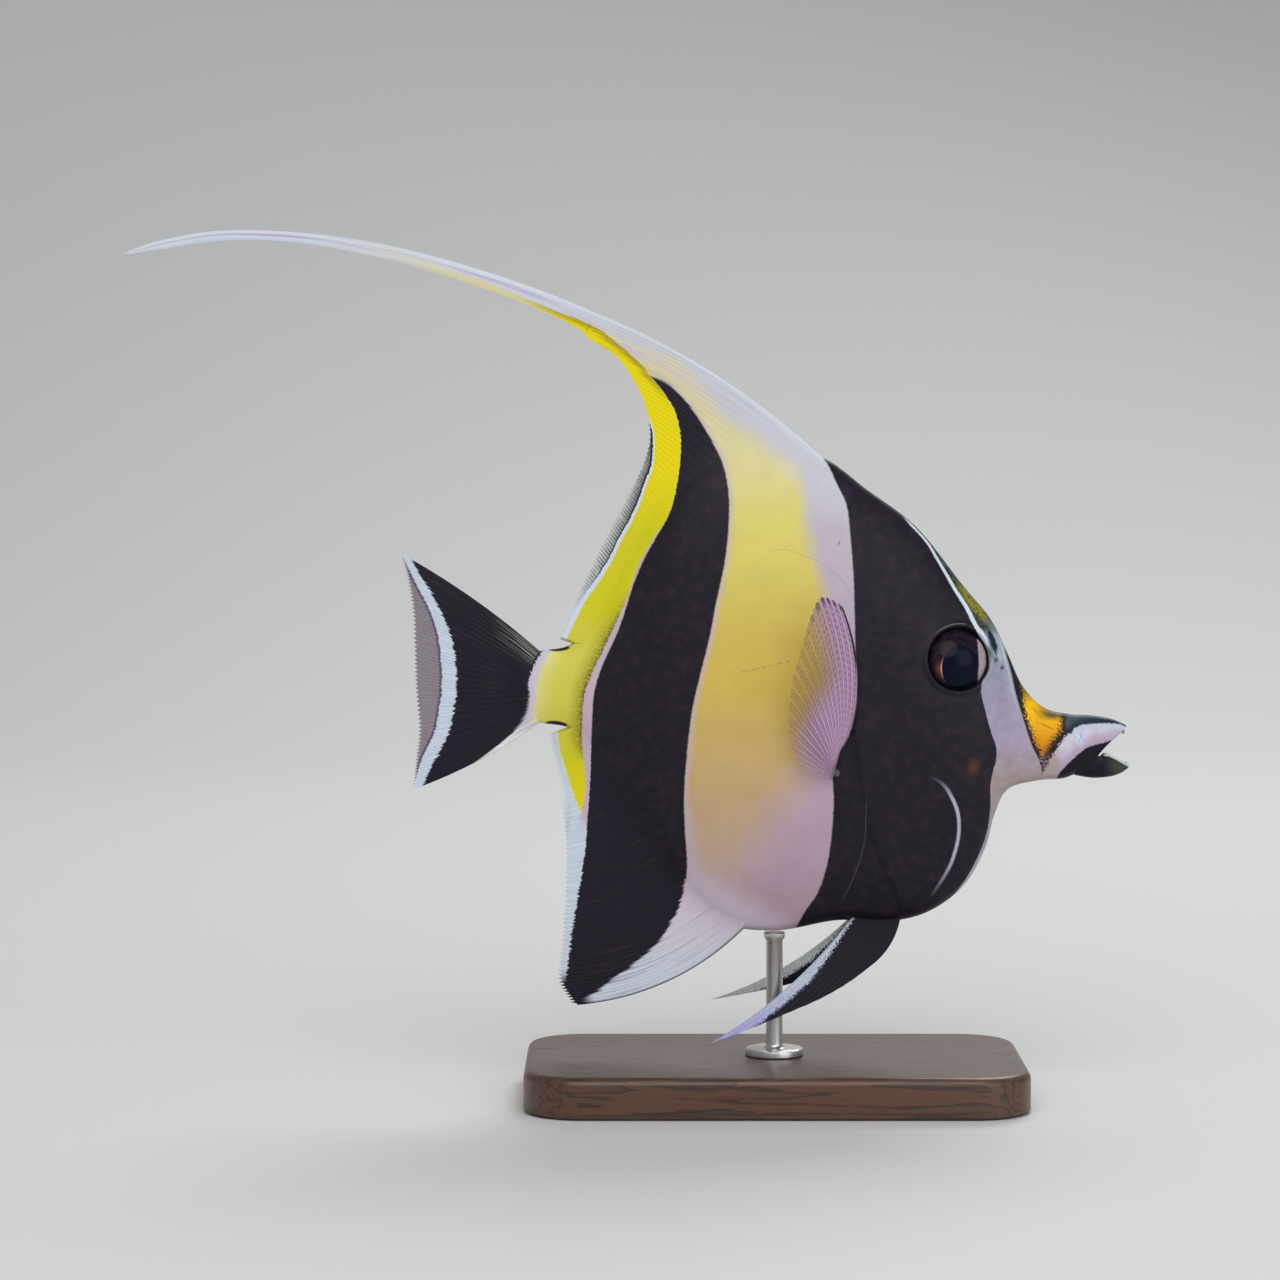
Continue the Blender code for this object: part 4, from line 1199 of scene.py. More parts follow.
def anal_height(g):
    """Height over a slanting line, which the white of the anal fin follows on the belly."""
    return g.plus(g.axis("x"), 0.6, g.axis("z"))


def behind_rear_band(g, skin, line, lines=None):
    """Yellow of fins and tail stem, with a speckled shade towards the lilac line."""
    z = g.axis("z")
    half = blend(skin.stem, srgb(216, 210, 0), 0.85)
    made = g.ramp(
        z,
        (-28.0, skin.yellow),
        (-14.0, half),
        (-4.0, skin.stem),
        (12.0, skin.stem),
        (22.0, half),
        (40.0, half),
        (54.0, skin.yellow),
    )
    if lines:
        made = g.paint(made, srgb(158, 136, 0), lines, 0.3)
    from_pale = g.field("pale_line_rear")
    low = g.both(g.step(z, 30.0, 14.0), g.step(z, -16.0, -9.0))
    specks = g.grains(0.4, 1.0, 0.6, 0.5)
    shade = g.both(g.step(from_pale, -4.4, 0.0), g.scale(specks, 0, 1, 0.45, 0.9))
    made = g.paint(made, skin.olive, low, shade)
    made = g.paint(made, srgb(70, 60, 40), g.step(from_pale, -1.3, -0.1), low, specks, 0.7)
    seam = g.both(g.step(line("pale_line_rear"), -0.2, 0.2), g.step(z, 43.0, 37.0))
    return g.paint(made, skin.seam, seam)


def tail_base(g, skin, line, made):
    """The stem's colour with the cream and lilac edge at the root of the tail fin."""
    from_edge = line("stem_yellow_rear")
    made = g.paint(made, srgb(228, 222, 160), g.step(from_edge, 4.5, 0.0), 0.6)
    return g.paint(made, blend(skin.white, skin.lilac, 0.35), g.step(from_edge, 0.9, -0.7))


def forehead_and_face(g, skin, line):
    """Pink face with the white lines and dark stripes between eye and profile."""
    z = g.axis("z")
    made = g.ramp(
        z,
        (-48.0, srgb(178, 192, 204)),
        (-30.0, srgb(164, 160, 166)),
        (-20.0, srgb(170, 154, 150)),
        (-9.0, skin.face),
        (1.0, srgb(158, 150, 172)),
        (14.0, srgb(150, 162, 176)),
    )
    made = g.mix(1.0, made, g.uneven(2.4, 4.0, 0.88, 1.08), "MULTIPLY")
    above = g.step(g.wobble(z, 1.2, 0.8), 15.2, 17.6)
    brow = g.mix(g.grains(0.8, 3.0, 0.4, 0.65), srgb(34, 44, 46), srgb(74, 88, 72))
    patch = g.wobble(g.spot(47.3, 23.4, 7.0, 1.5, 54), 0.7, 0.3)
    specks = g.grains(0.5, 2.0, 0.3, 0.55)
    brow = g.paint(brow, skin.olive, g.step(patch, 1.1, 0.5), specks)
    made = g.mix(above, made, brow)
    stripe = line("brow_stripe", 0.12, 0.5)
    below = g.step(z, 21.0, 17.5)
    pale = g.step(g.wobble(stripe, 1.0, 1.2), -2.6, -0.4)
    made = g.paint(made, srgb(186, 198, 210), pale, g.step(z, -6.0, 6.0), below, 0.25)
    made = g.paint(made, srgb(20, 28, 44), below, g.step(stripe, 0.0, 0.3))
    made = g.paint(made, srgb(104, 112, 92), g.step(stripe, 1.3, 1.6), g.step(z, -1.0, 4.0))
    inner = g.both(g.band(stripe, -0.5, 0.16, 0.24), g.step(z, 16.0, 12.0))
    made = g.paint(made, srgb(216, 228, 236), inner, g.scale(z, -5.0, 12.0, 0.0, 0.8))
    for tint, strength, *place in (
        (srgb(96, 116, 128), 0.8, 50.6, 13.4, 3.6, 0.8, 70),
        (srgb(24, 38, 52), 1.0, 51.9, 14.2, 3.6, 0.85, 71),
        (srgb(208, 224, 234), 1.0, 49.8, 15.6, 2.2, 0.4, 64),
        (srgb(198, 204, 186), 0.5, 53.4, 11.2, 1.6, 0.6, 70),
    ):
        mark = g.wobble(g.spot(*place), 0.5, 0.35)
        made = g.paint(made, tint, g.step(mark, 1.1, 0.65), strength)
    # Painted shade in the nostril pits.
    for at_x, at_z, radius in NOSTRILS:
        nostril_shade = g.step(g.spot(at_x, at_z, radius, radius), 0.9, 0.4)
        made = g.paint(made, srgb(86, 90, 86), nostril_shade, 0.8)
    width = g.scale(z, 15.0, 42.0, 1.3, 0.5)
    edge = g.maths("DIVIDE", g.maths("ADD", line("face_rear", 0.14, 0.5), 0.4), width)
    beside_eye = g.both(g.step(z, 12.0, 14.5), g.step(z, 44.5, 42.0))
    return g.paint(made, srgb(212, 224, 236), g.step(edge, 1.0, 0.75), beside_eye)


def snout(g, skin, line):
    """Orange saddle with a speckled border, white front, dark top and chin, and painted highlights
    along the top.
    """
    z = g.axis("z")
    pale, pink = blend(skin.white, skin.lilac, 0.2), blend(skin.white, skin.lilac, 0.75)
    made = g.mix(g.grains(2.6, 2.0, 0.35, 0.7), pale, pink)
    made = g.mix(g.step(line("chin"), 3.4, 0.4), made, blend(skin.lilac, skin.face, 0.4))
    # Painted highlight: pale blue on the white just below the dark top, near the knob.
    top_edge_highlight = g.both(g.step(line("snout_top"), -2.0, -0.2), g.step(g.axis("x"), 70.0, 74.0), 0.7)
    made = g.paint(made, srgb(186, 206, 232), top_edge_highlight)
    low_left = g.step(g.wobble(g.spot(65.5, -16.0, 4.0, 4.0), 1.5, 0.2), 1.1, 0.5)
    made = g.paint(made, srgb(176, 158, 160), low_left)
    knob = g.wobble(g.spot(*SNOUT_KNOB, 1.3, 2.0, -20), 0.6, 0.2)
    made = g.paint(made, srgb(200, 218, 238), g.step(knob, 1.3, 0.4), 0.9)
    marks = g.both(g.step(knob, 0.9, 0.4), g.grains(0.75, 1.0, 0.53, 0.64))
    made = g.paint(made, srgb(52, 66, 96), marks, 0.85)
    rear, front = line("saddle_rear", 0.5, 0.5), line("saddle_front", 0.5, 0.5)
    orange = g.mix(g.step(z, -13.0, -1.0), blend(skin.orange, srgb(196, 104, 8), 0.75), skin.orange)
    for place in (
        (65.4, -3.5, 2.8, 0.3, 28), (64.8, -6.0, 2.6, 0.26, 24), (62.2, -2.4, 1.8, 0.22, 42),
    ):
        mark = g.wobble(g.spot(*place), 0.5, 0.5)
        orange = g.paint(orange, srgb(120, 64, 10), g.step(mark, 1.2, 0.3), 0.5)
    specks = g.both(g.grains(0.45, 2.0, 0.6, 0.72), 0.45)
    orange = g.paint(orange, srgb(130, 84, 10), specks)
    top = g.both(g.step(g.axis("x"), 61.0, 66.5), g.step(z, -5.2, -3.4))
    early = g.both(g.step(z, -1.0, 2.4), 0.8)
    orange = g.paint(orange, srgb(96, 92, 44), g.most(top, early))
    fleck = g.uneven(0.4, 2.0, -0.8, 0.8)
    behind = g.step(g.maths("ADD", rear, fleck), 0.8, 0.0)
    ahead = g.step(g.maths("ADD", front, fleck), -2.2, -0.6)
    orange = g.paint(orange, srgb(34, 24, 26), g.most(behind, ahead))
    tip = g.both(g.step(z, -12.0, -15.0), 0.6)
    orange = g.paint(orange, skin.lilac, tip, g.step(fleck, -0.2, 0.3))
    made = g.mix(g.step(g.plus(fleck, 0.5, front), 0.9, 0.4), made, orange)
    # The dark blue-grey top gets lighter towards its upper edge: that lighter part is a painted
    # highlight.
    above = line("snout_top", 0.25, 0.6)
    crown = g.ramp(
        above,
        (0.0, srgb(24, 28, 52)),
        (0.9, srgb(30, 36, 54)),
        (1.8, srgb(62, 74, 84)),
        (3.6, srgb(84, 96, 98)),
    )
    on_crown = g.both(g.step(above, -0.2, 0.25), g.step(line("saddle_front"), -0.3, 0.1))
    made = g.mix(on_crown, made, crown)
    dark = g.mix(g.grains(1.6, 3.0, 0.45, 0.7), srgb(8, 12, 26), srgb(22, 24, 36))
    dark = g.mix(g.step(g.axis("x"), 78.5, 83.0), dark, srgb(62, 66, 60))
    made = g.mix(g.step(line("chin", 0.3), 0.2, -0.2), made, dark)
    lip = g.band(g.field("lower_mouth"), 0.0, 0.45, 0.2)
    return g.paint(made, srgb(204, 214, 206), lip, g.step(g.axis("x"), 78.0, 79.4), 0.9)


def build_skin_material(skin):
    g = Graph("scaled_skin")
    x, z = g.axis("x"), g.axis("z")

    def line(name, height=0.22, size=0.6):
        return g.wobble(g.field(name), size, height)

    mottled = blend(skin.black, srgb(70, 44, 62), 0.3)
    black = g.mix(g.grains(2.6, 4.0, 0.42, 0.78), skin.black, mottled)
    made = flank(g, skin)
    shoulder = g.both(g.band(g.field("shoulder_line"), 0.0, 0.1, 0.14), g.step(x, -3.0, 0.5), 0.3)
    dashes = g.both(g.grains(0.9, 1.0, 0.45, 0.5), g.step(x, -10.0, -9.0), g.step(x, 4.4, 3.6), 0.6)
    dashes = g.both(dashes, g.band(g.field("lateral_line"), 0.0, 0.12, 0.12))
    made = g.paint(made, srgb(124, 104, 100), g.most(shoulder, dashes))
    hook = g.step(g.wobble(g.spot(14.9, 38.0, 0.3, 1.0, 20), 0.4, 0.3), 1.0, 0.6)
    made = g.paint(made, srgb(110, 96, 104), hook, 0.6)
    stem = tail_base(g, skin, line, behind_rear_band(g, skin, line))
    made = g.mix(g.step(line("rear_band_rear"), 0.2, -0.2), made, stem)
    made = g.mix(g.step(line("tail_black_front", 0.7, 0.5), 0.3, -0.3), made, black)
    in_rear = g.both(
        g.step(line("rear_band_front"), 0.25, -0.25), g.step(line("rear_band_rear"), -0.2, 0.2)
    )
    made = g.mix(g.most(in_rear, g.step(line("front_band_rear"), -0.25, 0.25)), made, black)
    # Painted shade: dark crescents in the gaps where the last rays of the dorsal and anal fin meet
    # the tail stem.
    for hook in ((-51.9, 12.5, 3.0, 0.8, -4), (-52.4, -5.7, 3.0, 0.85, 6)):
        made = g.paint(made, srgb(44, 32, 32), g.step(g.spot(*hook), 1.0, 0.75))
    cheek = g.both(g.band(line("cheek", 0.12, 0.5), 0.0, 0.4, 0.2), 0.9)
    made = g.paint(made, srgb(186, 184, 206), cheek, g.step(z, -48, -36), g.step(z, -17, -24))
    breast = g.both(g.band(g.field("breast_line"), 0.0, 0.1, 0.2), 0.28)
    made = g.paint(made, srgb(120, 116, 140), breast, g.step(z, -50, -44), g.step(z, -20, -26))
    made = g.paint(made, srgb(120, 70, 20), g.step(g.spot(47.0, -15.4, 2.4, 3.0), 1.0, 0.0), 0.45)
    made = g.paint(made, srgb(108, 112, 112), g.step(g.spot(14.4, -16.6, 0.8, 1.0), 1.0, 0.6), 0.8)
    face = forehead_and_face(g, skin, line)
    face = g.mix(g.step(line("saddle_rear", 0.5, 0.5), -0.7, -0.3), face, snout(g, skin, line))
    made = g.mix(g.step(line("face_rear", 0.18, 0.5), -0.55, -0.25), made, face)
    open_side = g.both(g.step(x, 46.0, 49.0), g.step(z, 7.0, 12.0), 0.45)
    from_eye = g.maths("ADD", g.spot(*EYE, 1.0, 1.0), open_side)
    made = g.paint(made, srgb(27, 24, 36), g.step(from_eye, 7.85, 7.4))
    # Painted highlight: a thin pale arc along the upper rim of the orbit.
    orbit_highlight = g.both(g.band(from_eye, 8.35, 0.12, 0.14), g.step(z, 15.0, 17.0), 0.6)
    made = g.paint(made, srgb(120, 134, 122), orbit_highlight, g.step(x, 37.0, 40.0), g.step(x, 46.0, 44.6))
    grain = g.add("ShaderNodeTexVoronoi", g.place, None, 1 / skin.grain, feature="F1")
    height = g.plus(g.noise(1.2, 3.0), 0.6, grain)
    return g.finish(
        Base_Color=made,
        Roughness=g.uneven(2.0, 3.0, 0.42, 0.56),
        Normal=g.bump(height, skin.relief / MM, 0.7),
        Specular_IOR_Level=0.2,
        Coat_Weight=0.03,
        Coat_Roughness=0.3,
    )


def ray_lines(g, count, thin=0.2):
    """1 on fine even lines along the rays."""
    away = g.maths("PINGPONG", g.maths("MULTIPLY", g.field("across"), float(count)), 0.5)
    return g.step(away, thin + 0.06, thin - 0.06)


def streaks(g, count, width=1.0):
    """Noise in fine lines along the rays, from 0 to 1."""
    across = g.maths("MULTIPLY", g.field("across"), count)
    place = g.add("ShaderNodeCombineXYZ", across, g.maths("MULTIPLY", g.field("along"), 2.0), 0.0)
    return g.add("ShaderNodeTexNoise", place, None, width, 3.0, 0.6)


def fin_line(g, count, height):
    """Reads a marking's distance with a jagged edge along the rays."""

    def line(name, share=1.0):
        jag = g.scale(streaks(g, count), 0.2, 0.8, -height, height)
        return g.plus(jag, share, g.field(name))

    return line


def fin_finish(g, made, alpha=None, relief=0.04):
    lines = g.plus(streaks(g, 160.0), 0.7, g.both(g.field("ridge"), 0.5))
    values = {
        "Base_Color": made,
        "Roughness": g.uneven(2.0, 2.0, 0.4, 0.54),
        "Normal": g.bump(lines, relief, 0.6),
        "Specular_IOR_Level": 0.2,
    }
    if alpha is not None:
        values["Alpha"] = alpha
    return g.finish(**values)


def see_through(g, opacity, *masks):
    """Opacity that is 1 outside the masks."""
    return g.maths("SUBTRACT", 1.0, g.both(*masks, g.maths("SUBTRACT", 1.0, opacity)))


def build_dorsal_material(skin, fins):
    g = Graph("dorsal_membrane")
    x, z = g.axis("x"), g.axis("z")
    line = fin_line(g, 120.0, 0.3)
    fine, wide = streaks(g, 110.0), streaks(g, 34.0)
    high = dorsal_height(g)
    white = g.mix(g.step(high, 60.0, 74.0), ROOT_WHITE, fins.white)
    white = g.paint(white, fins.mauve, g.step(wide, 0.44, 0.66), g.step(high, 60.0, 72.0))
    cream = g.mix(g.step(fine, 0.4, 0.64), fins.cream, blend(skin.lilac, skin.white, 0.5))
    near_black = g.step(g.plus(wide, 5.0, g.field("rear_band_front")), 9.5, 6.0)
    made = g.mix(g.both(near_black, g.step(x, -92.0, -54.0)), white, cream)
    made = g.paint(made, fins.mauve, g.step(fine, 0.55, 0.72), g.scale(high, 60.0, 72.0, 0.05, 0.3))
    made = g.paint(made, fins.white, g.step(g.field("across"), 0.02, 0.008), 0.7)
    over_back = g.maths("SUBTRACT", high, g.scale(x, -14.0, 0.0, 0.0, 6.5))
    root = g.step(g.plus(fine, 7.0, over_back), 64.0, 56.0)
    made = g.mix(root, made, flank(g, skin))
    black = g.mix(g.both(g.step(fine, 0.6, 0.75), 0.4), fins.black, srgb(70, 54, 56))
    band = g.step(line("rear_band_front"), 0.3, -0.3)
    made = g.mix(g.both(band, g.step(x, -58.0, -46.0)), made, black)
    rays = ray_lines(g, 144, 0.14)
    yellow = behind_rear_band(g, skin, line, rays)
    upper = g.step(g.plus(fine, 4.0, g.field("rear_band_rear")), 0.2, 1.8)
    yellow = g.paint(yellow, srgb(140, 120, 24), g.step(z, 68.0, 80.0), upper, 0.7)
    behind = g.step(line("rear_band_rear", g.scale(x, -36.0, -50.0, 1.0, 4.0)), 0.15, -0.15)
    made = g.paint(made, fins.cream, behind, g.step(x, -110.0, -60.0))
    below_filament = g.step(g.plus(fine, 8.0, x), -62.0, -44.0)
    made = g.mix(g.both(behind, below_filament), made, yellow)
    low = g.step(z, 71.0, 65.0)
    edge = line("upper_white", 0.8)
    half = g.scale(z, 64.0, 20.0, 0.18, 0.6)
    white_line = g.step(g.maths("DIVIDE", g.maths("ABSOLUTE", edge), half), 1.15, 0.85)
    outside = g.both(g.step(edge, 0.0, -0.3), low)
    hair = g.both(rays, g.step(fine, 0.32, 0.44))
    made = g.mix(outside, made, g.mix(g.step(z, 32.0, 20.0), srgb(34, 38, 42), fins.white))
    made = g.paint(made, fins.white, white_line, low)
    near = g.step(g.plus(fine, 1.6, edge), -2.6, 0.4)
    veil = g.both(near, g.scale(z, 18.0, 44.0, 0.05, 0.9), g.scale(hair, 0, 1, 0.45, 1.0))
    inside = g.step(g.field("along"), 0.995, 0.95)
    clear = g.most(veil, g.both(hair, inside, g.scale(near, 0, 1, 0.25, 0.9)))
    return fin_finish(g, made, see_through(g, clear, outside, g.step(edge, -0.5, -0.9)))


def build_anal_material(skin, fins):
    g = Graph("anal_membrane")
    z = g.axis("z")
    line = fin_line(g, 120.0, 0.3)
    fine = streaks(g, 100.0)
    white = g.mix(g.step(z, -68.0, -54.0), fins.white, PINK_WHITE)
    grey = g.step(g.field("rear_band_front"), 16.0, 2.0)
    grey = g.both(g.step(fine, 0.54, 0.68), g.scale(grey, 0, 1, 0.25, 0.8))
    made = g.paint(white, srgb(140, 132, 156), grey)
    root = g.step(g.plus(fine, 6.0, anal_height(g)), -61.0, -54.0)
    made = g.mix(root, made, flank(g, skin))
    made = g.paint(made, fins.navy, g.step(g.field("across"), 0.012, 0.004), 0.8)
    black = g.paint(fins.black, srgb(64, 40, 50), g.step(streaks(g, 60.0), 0.56, 0.74), 0.5)
    made = g.mix(g.step(line("rear_band_front", 2.4), 0.35, -0.35), made, black)
    rays = ray_lines(g, 150, 0.16)
    edge = g.paint(fins.white, srgb(150, 168, 208), rays, g.step(fine, 0.4, 0.55), 0.6)
    behind = g.step(line("rear_band_rear", g.scale(z, -30.0, -50.0, 0.8, 3.0)), 0.15, -0.15)
    made = g.mix(behind, made, edge)
    yellow = g.step(line("lower_white_front"), -0.15, 0.15)
    bright = behind_rear_band(g, skin, line, rays)
    made = g.mix(g.both(yellow, behind, g.step(z, -32.0, -28.0)), made, bright)
    lilac = g.both(g.step(line("pale_line_rear", 0.4), -0.15, 0.15), g.step(z, -32.0, -26.0))
    made = g.paint(made, skin.seam, behind, lilac, 0.9)
    outside = g.both(g.step(line("lower_white_rear", 0.8), 0.1, -0.2), g.step(z, -34.0, -22.0))
    made = g.mix(outside, made, fins.white)
    beyond = g.plus(fine, -1.6, g.field("lower_white_rear"))
    hair = g.both(rays, g.step(beyond, -2.8, -1.2), g.step(g.field("along"), 0.995, 0.95))
    tip = g.both(g.step(z, -65.0, -69.0), g.step(g.field("along"), 0.9, 0.97))
    made = g.mix(tip, made, fins.black)
    return fin_finish(g, made, see_through(g, g.scale(hair, 0, 1, 0.02, 0.9), outside))


def build_tail_material(skin, fins):
    g = Graph("tail_membrane")
    across, along = g.field("across"), g.field("along")
    line = fin_line(g, 150.0, 0.4)
    fine = streaks(g, 150.0)
    black = g.paint(fins.black, srgb(78, 70, 76), g.step(fine, 0.56, 0.74), 0.5)
    rooted = g.both(g.step(along, 0.42, 0.12), g.step(across, 0.26, 0.06), g.step(fine, 0.5, 0.6))
    black = g.paint(black, srgb(196, 204, 186), rooted, 0.8)
    reach = g.plus(fine, 1.2, g.scale(along, 0.08, 0.6, 2.0, -0.8))
    streak = g.step(g.maths("SUBTRACT", g.field("inward"), reach), 0.2, -0.2)
    pale = g.mix(g.step(fine, 0.48, 0.62), srgb(236, 240, 240), srgb(156, 152, 120))
    black = g.paint(black, pale, streak)
    base = tail_base(g, skin, line, skin.stem)
    base = g.paint(base, pale, g.step(g.field("inward"), 2.2, 0.8), g.step(across, 0.5, 0.7), 0.8)
    made = g.mix(g.step(line("tail_black_front", 1.8), 0.5, -0.5), base, black)
    inner = g.step(line("tail_white_front", 2.0), 0.15, -0.15)
    outer = g.step(line("tail_white_rear", 1.2), 0.15, -0.15)
    rays = ray_lines(g, 76, 0.13)
    edge = g.paint(fins.white, srgb(150, 168, 208), rays, g.step(fine, 0.4, 0.55), 0.6)
    made = g.mix(inner, made, edge)
    hair = g.both(rays, g.step(fine, 0.3, 0.45))
    made = g.mix(outer, made, g.mix(hair, srgb(118, 102, 114), srgb(158, 145, 157)))
    made = g.paint(made, fins.navy, g.band(line("tail_white_rear", 1.2), -0.25, 0.2, 0.2), 0.7)
    beyond = g.step(g.field("tail_white_rear"), -0.4, -0.8)
    return fin_finish(g, made, see_through(g, g.scale(hair, 0, 1, 0.55, 0.9), outer, beyond))


def build_pectoral_material(fins):
    g = Graph("pectoral_membrane")
    across, along = g.field("across"), g.field("along")
    phase = g.maths("MULTIPLY", across, float(fins.pectoral_rays))
    between_rays = g.maths("PINGPONG", phase, 0.5)
    ray = g.step(between_rays, 0.16, 0.05)
    row = g.maths("FLOOR", g.plus(phase, 2.0, 0.5))
    brick = g.maths("FRACT", g.plus(row, 0.41, g.maths("MULTIPLY", along, 26.0)))
    dash = g.both(g.band(between_rays, 0.3, 0.05, 0.04), g.step(brick, 0.3, 0.36))
    dash = g.both(dash, g.step(along, 0.12, 0.2))
    cross = g.both(g.band(brick, 0.6, 0.05, 0.03), g.step(between_rays, 0.26, 0.32), 0.45)
    dark = g.most(dash, cross)
    from_root = g.both(g.spot(14.5, -14.0, 1.0, 1.0), g.maths("ADD", across, 0.25))
    front = g.most(g.step(from_root, 15.5, 8.0), g.step(across, 0.42, 0.14))
    firm = g.both(front, g.step(across, 0.95, 0.4))
    branch = g.maths("PINGPONG", g.plus(phase, 2.0, 0.5), 0.5)
    branch = g.both(g.step(branch, 0.3, 0.12), g.step(along, 0.2, 0.4), g.step(firm, 0.6, 0.1))
    ray = g.most(ray, g.both(branch, 0.6))
    made = g.mix(ray, srgb(206, 174, 118), srgb(156, 122, 96))
    made = g.mix(front, made, g.mix(ray, fins.membrane, fins.blush))
    made = g.paint(made, g.mix(front, srgb(110, 92, 60), srgb(74, 44, 84)), dark, 0.9)
    margin = g.both(g.step(along, 0.95, 0.975), g.step(between_rays, 0.2, 0.36), 0.75)
    rim = g.most(
        g.both(g.step(across, 0.026, 0.014), g.step(along, 0.5, 0.7)),
        g.both(margin, g.step(across, 0.55, 0.15)),
    )
    made = g.paint(made, srgb(24, 24, 44), rim)
    stalk = g.step(along, 0.2, 0.04)
    made = g.paint(made, srgb(44, 32, 52), stalk, g.step(between_rays, 0.2, 0.4), 0.8)
    made = g.paint(made, srgb(44, 32, 52), g.step(along, 0.05, 0.0))
    alpha = g.most(
        g.scale(firm, 0.0, 1.0, 0.14, 0.95),
        g.both(ray, g.scale(firm, 0.0, 1.0, 0.45, 1.0)),
        g.both(dark, g.scale(firm, 0.0, 1.0, 0.5, 1.0)),
        rim,
        stalk,
    )
    return fin_finish(g, made, alpha, relief=0.02)


def build_pelvic_material(fins):
    g = Graph("pelvic_membrane")
    fine, along = streaks(g, 60.0), g.field("along")
    black = g.paint(fins.black, srgb(50, 40, 46), g.step(fine, 0.6, 0.75), 0.5)
    pale = g.mix(g.step(along, 0.45, 1.0), srgb(196, 206, 220), srgb(180, 180, 232))
    # Painted light: the pale part of the left fin, which is in shade behind the right one, is
    # brighter.
    pale = g.mix(g.step(g.axis("y"), -1.0, 1.0), pale, srgb(246, 255, 252))
    pale = g.paint(pale, srgb(126, 134, 168), g.grains(0.36, 2.0, 0.48, 0.62), 0.4)
    jag = g.uneven(0.36, 3.0, -0.6, 0.6)
    inward = g.maths("ADD", g.field("inward"), jag)
    width = g.scale(along, 0.08, 0.5, 0.55, 2.4)
    share = g.maths("DIVIDE", inward, width)
    made = g.mix(g.step(share, 1.1, 0.9), black, pale)
    made = g.paint(made, fins.navy, g.band(share, 1.1, 0.12, 0.1), 0.5)
    return fin_finish(g, made)


def build_eye_material(eye):
    g = Graph("eye_gloss")
    pupil = g.wobble(g.field("pupil"), 1.0, 0.06)
    rear = g.field("rear")
    veined = blend(eye.iris, srgb(70, 40, 60), 0.35)
    iris = g.mix(g.grains(1.2, 4.0, 0.4, 0.7), eye.iris, veined)
    iris = g.paint(iris, eye.ember, rear, g.step(pupil, -2.1, -0.5))
    iris = g.paint(iris, srgb(196, 170, 176), rear, g.band(pupil, -0.22, 0.13, 0.12))
    front = g.step(g.wobble(g.field("front"), 0.8, 0.1), -0.1, 0.25)
    dusky = blend(eye.crescent, srgb(140, 120, 150), 0.6)
    pale = g.mix(g.grains(0.9, 3.0, 0.35, 0.7), eye.crescent, dusky)
    iris = g.mix(front, iris, pale)
    made = g.mix(g.step(pupil, -0.12, 0.08), iris, eye.pupil)
    return g.finish(
        Base_Color=made,
        Roughness=g.uneven(2.0, 2.0, 0.2, 0.25),
        Specular_IOR_Level=0.09,
        Coat_Weight=0.04,
        Coat_Roughness=0.1,
    )


def build_wood_material(stand):
    g = Graph("stained_wood")
    stretched = g.add("ShaderNodeVectorMath", g.place, (0.07, 1.0, 1.0), operation="MULTIPLY")
    turbulence = g.add("ShaderNodeTexNoise", stretched, None, 90.0, 5.0, 0.6)
    across = g.add("ShaderNodeVectorMath", stretched, (0.0, 1.0, 0.6), operation="MULTIPLY")
    bent = g.add(
        "ShaderNodeVectorMath",
        across,
        g.add("ShaderNodeCombineXYZ", 0.0, g.both(turbulence, 0.02), 0.0),
        operation="ADD",
    )
    rings = g.add(
        "ShaderNodeTexWave",
        bent,
        0.5 / stand.grain_width,
        3.0,
        3.0,
        wave_type="BANDS",
        bands_direction="Y",
        wave_profile="SAW",
    )
    pores = g.add("ShaderNodeTexNoise", stretched, None, 1400.0, 3.0, 0.7)
    shade_share = g.most(g.both(g.step(rings, 0.55, 0.95), 0.8), g.step(pores, 0.6, 0.72))
    tone = g.mix(turbulence, stand.wood, srgb(96, 60, 38))
    made = g.mix(shade_share, tone, stand.grain)
    return g.finish(
        Base_Color=made,
        Roughness=g.scale(pores, 0.3, 0.7, 0.34, 0.5),
        Normal=g.bump(g.maths("SUBTRACT", 1.0, shade_share), 0.03, 0.5),
        Coat_Weight=0.25,
        Coat_Roughness=0.22,
    )


def build_steel_material(stand):
    g = Graph("brushed_steel")
    brushed = g.noise(0.5, 3.0, stretch=(1.0, 1.0, 9.0))
    return g.finish(
        Base_Color=g.mix(brushed, stand.steel, srgb(210, 210, 208)),
        Metallic=1.0,
        Roughness=g.scale(brushed, 0.3, 0.7, 0.24, 0.4),
        Normal=g.bump(brushed, 0.002, 0.3),
    )


def build_tooth_material():
    g = Graph("bristle_teeth")
    return g.finish(
        Base_Color=g.mix(g.noise(0.6, 2.0), srgb(120, 84, 50), srgb(176, 140, 96)),
        Roughness=0.35,
    )


# Pieces


def settle(piece, material, slot, *nodes):
    """Gives a piece its material, its place on the body and the solids that it stands for."""
    piece.data.materials.clear()
    piece.data.materials.append(material)
    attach(piece, "root")
    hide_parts(*nodes)


class IDOL_OT_skin(bpy.types.Operator):
    """Builds the skin of head, body and tail stem as one piece"""

    bl_idname = "idol.skin"
    bl_label = "Skin"

    def execute(self, context):
        piece = new_object("fish_skin", build_skin())
        nodes = ("snout", "lower_jaw", "head", "torso", "tail_stem")
        settle(piece, build_skin_material(context.scene.idol_skin), "banded_skin", *nodes)
        return {"FINISHED"}


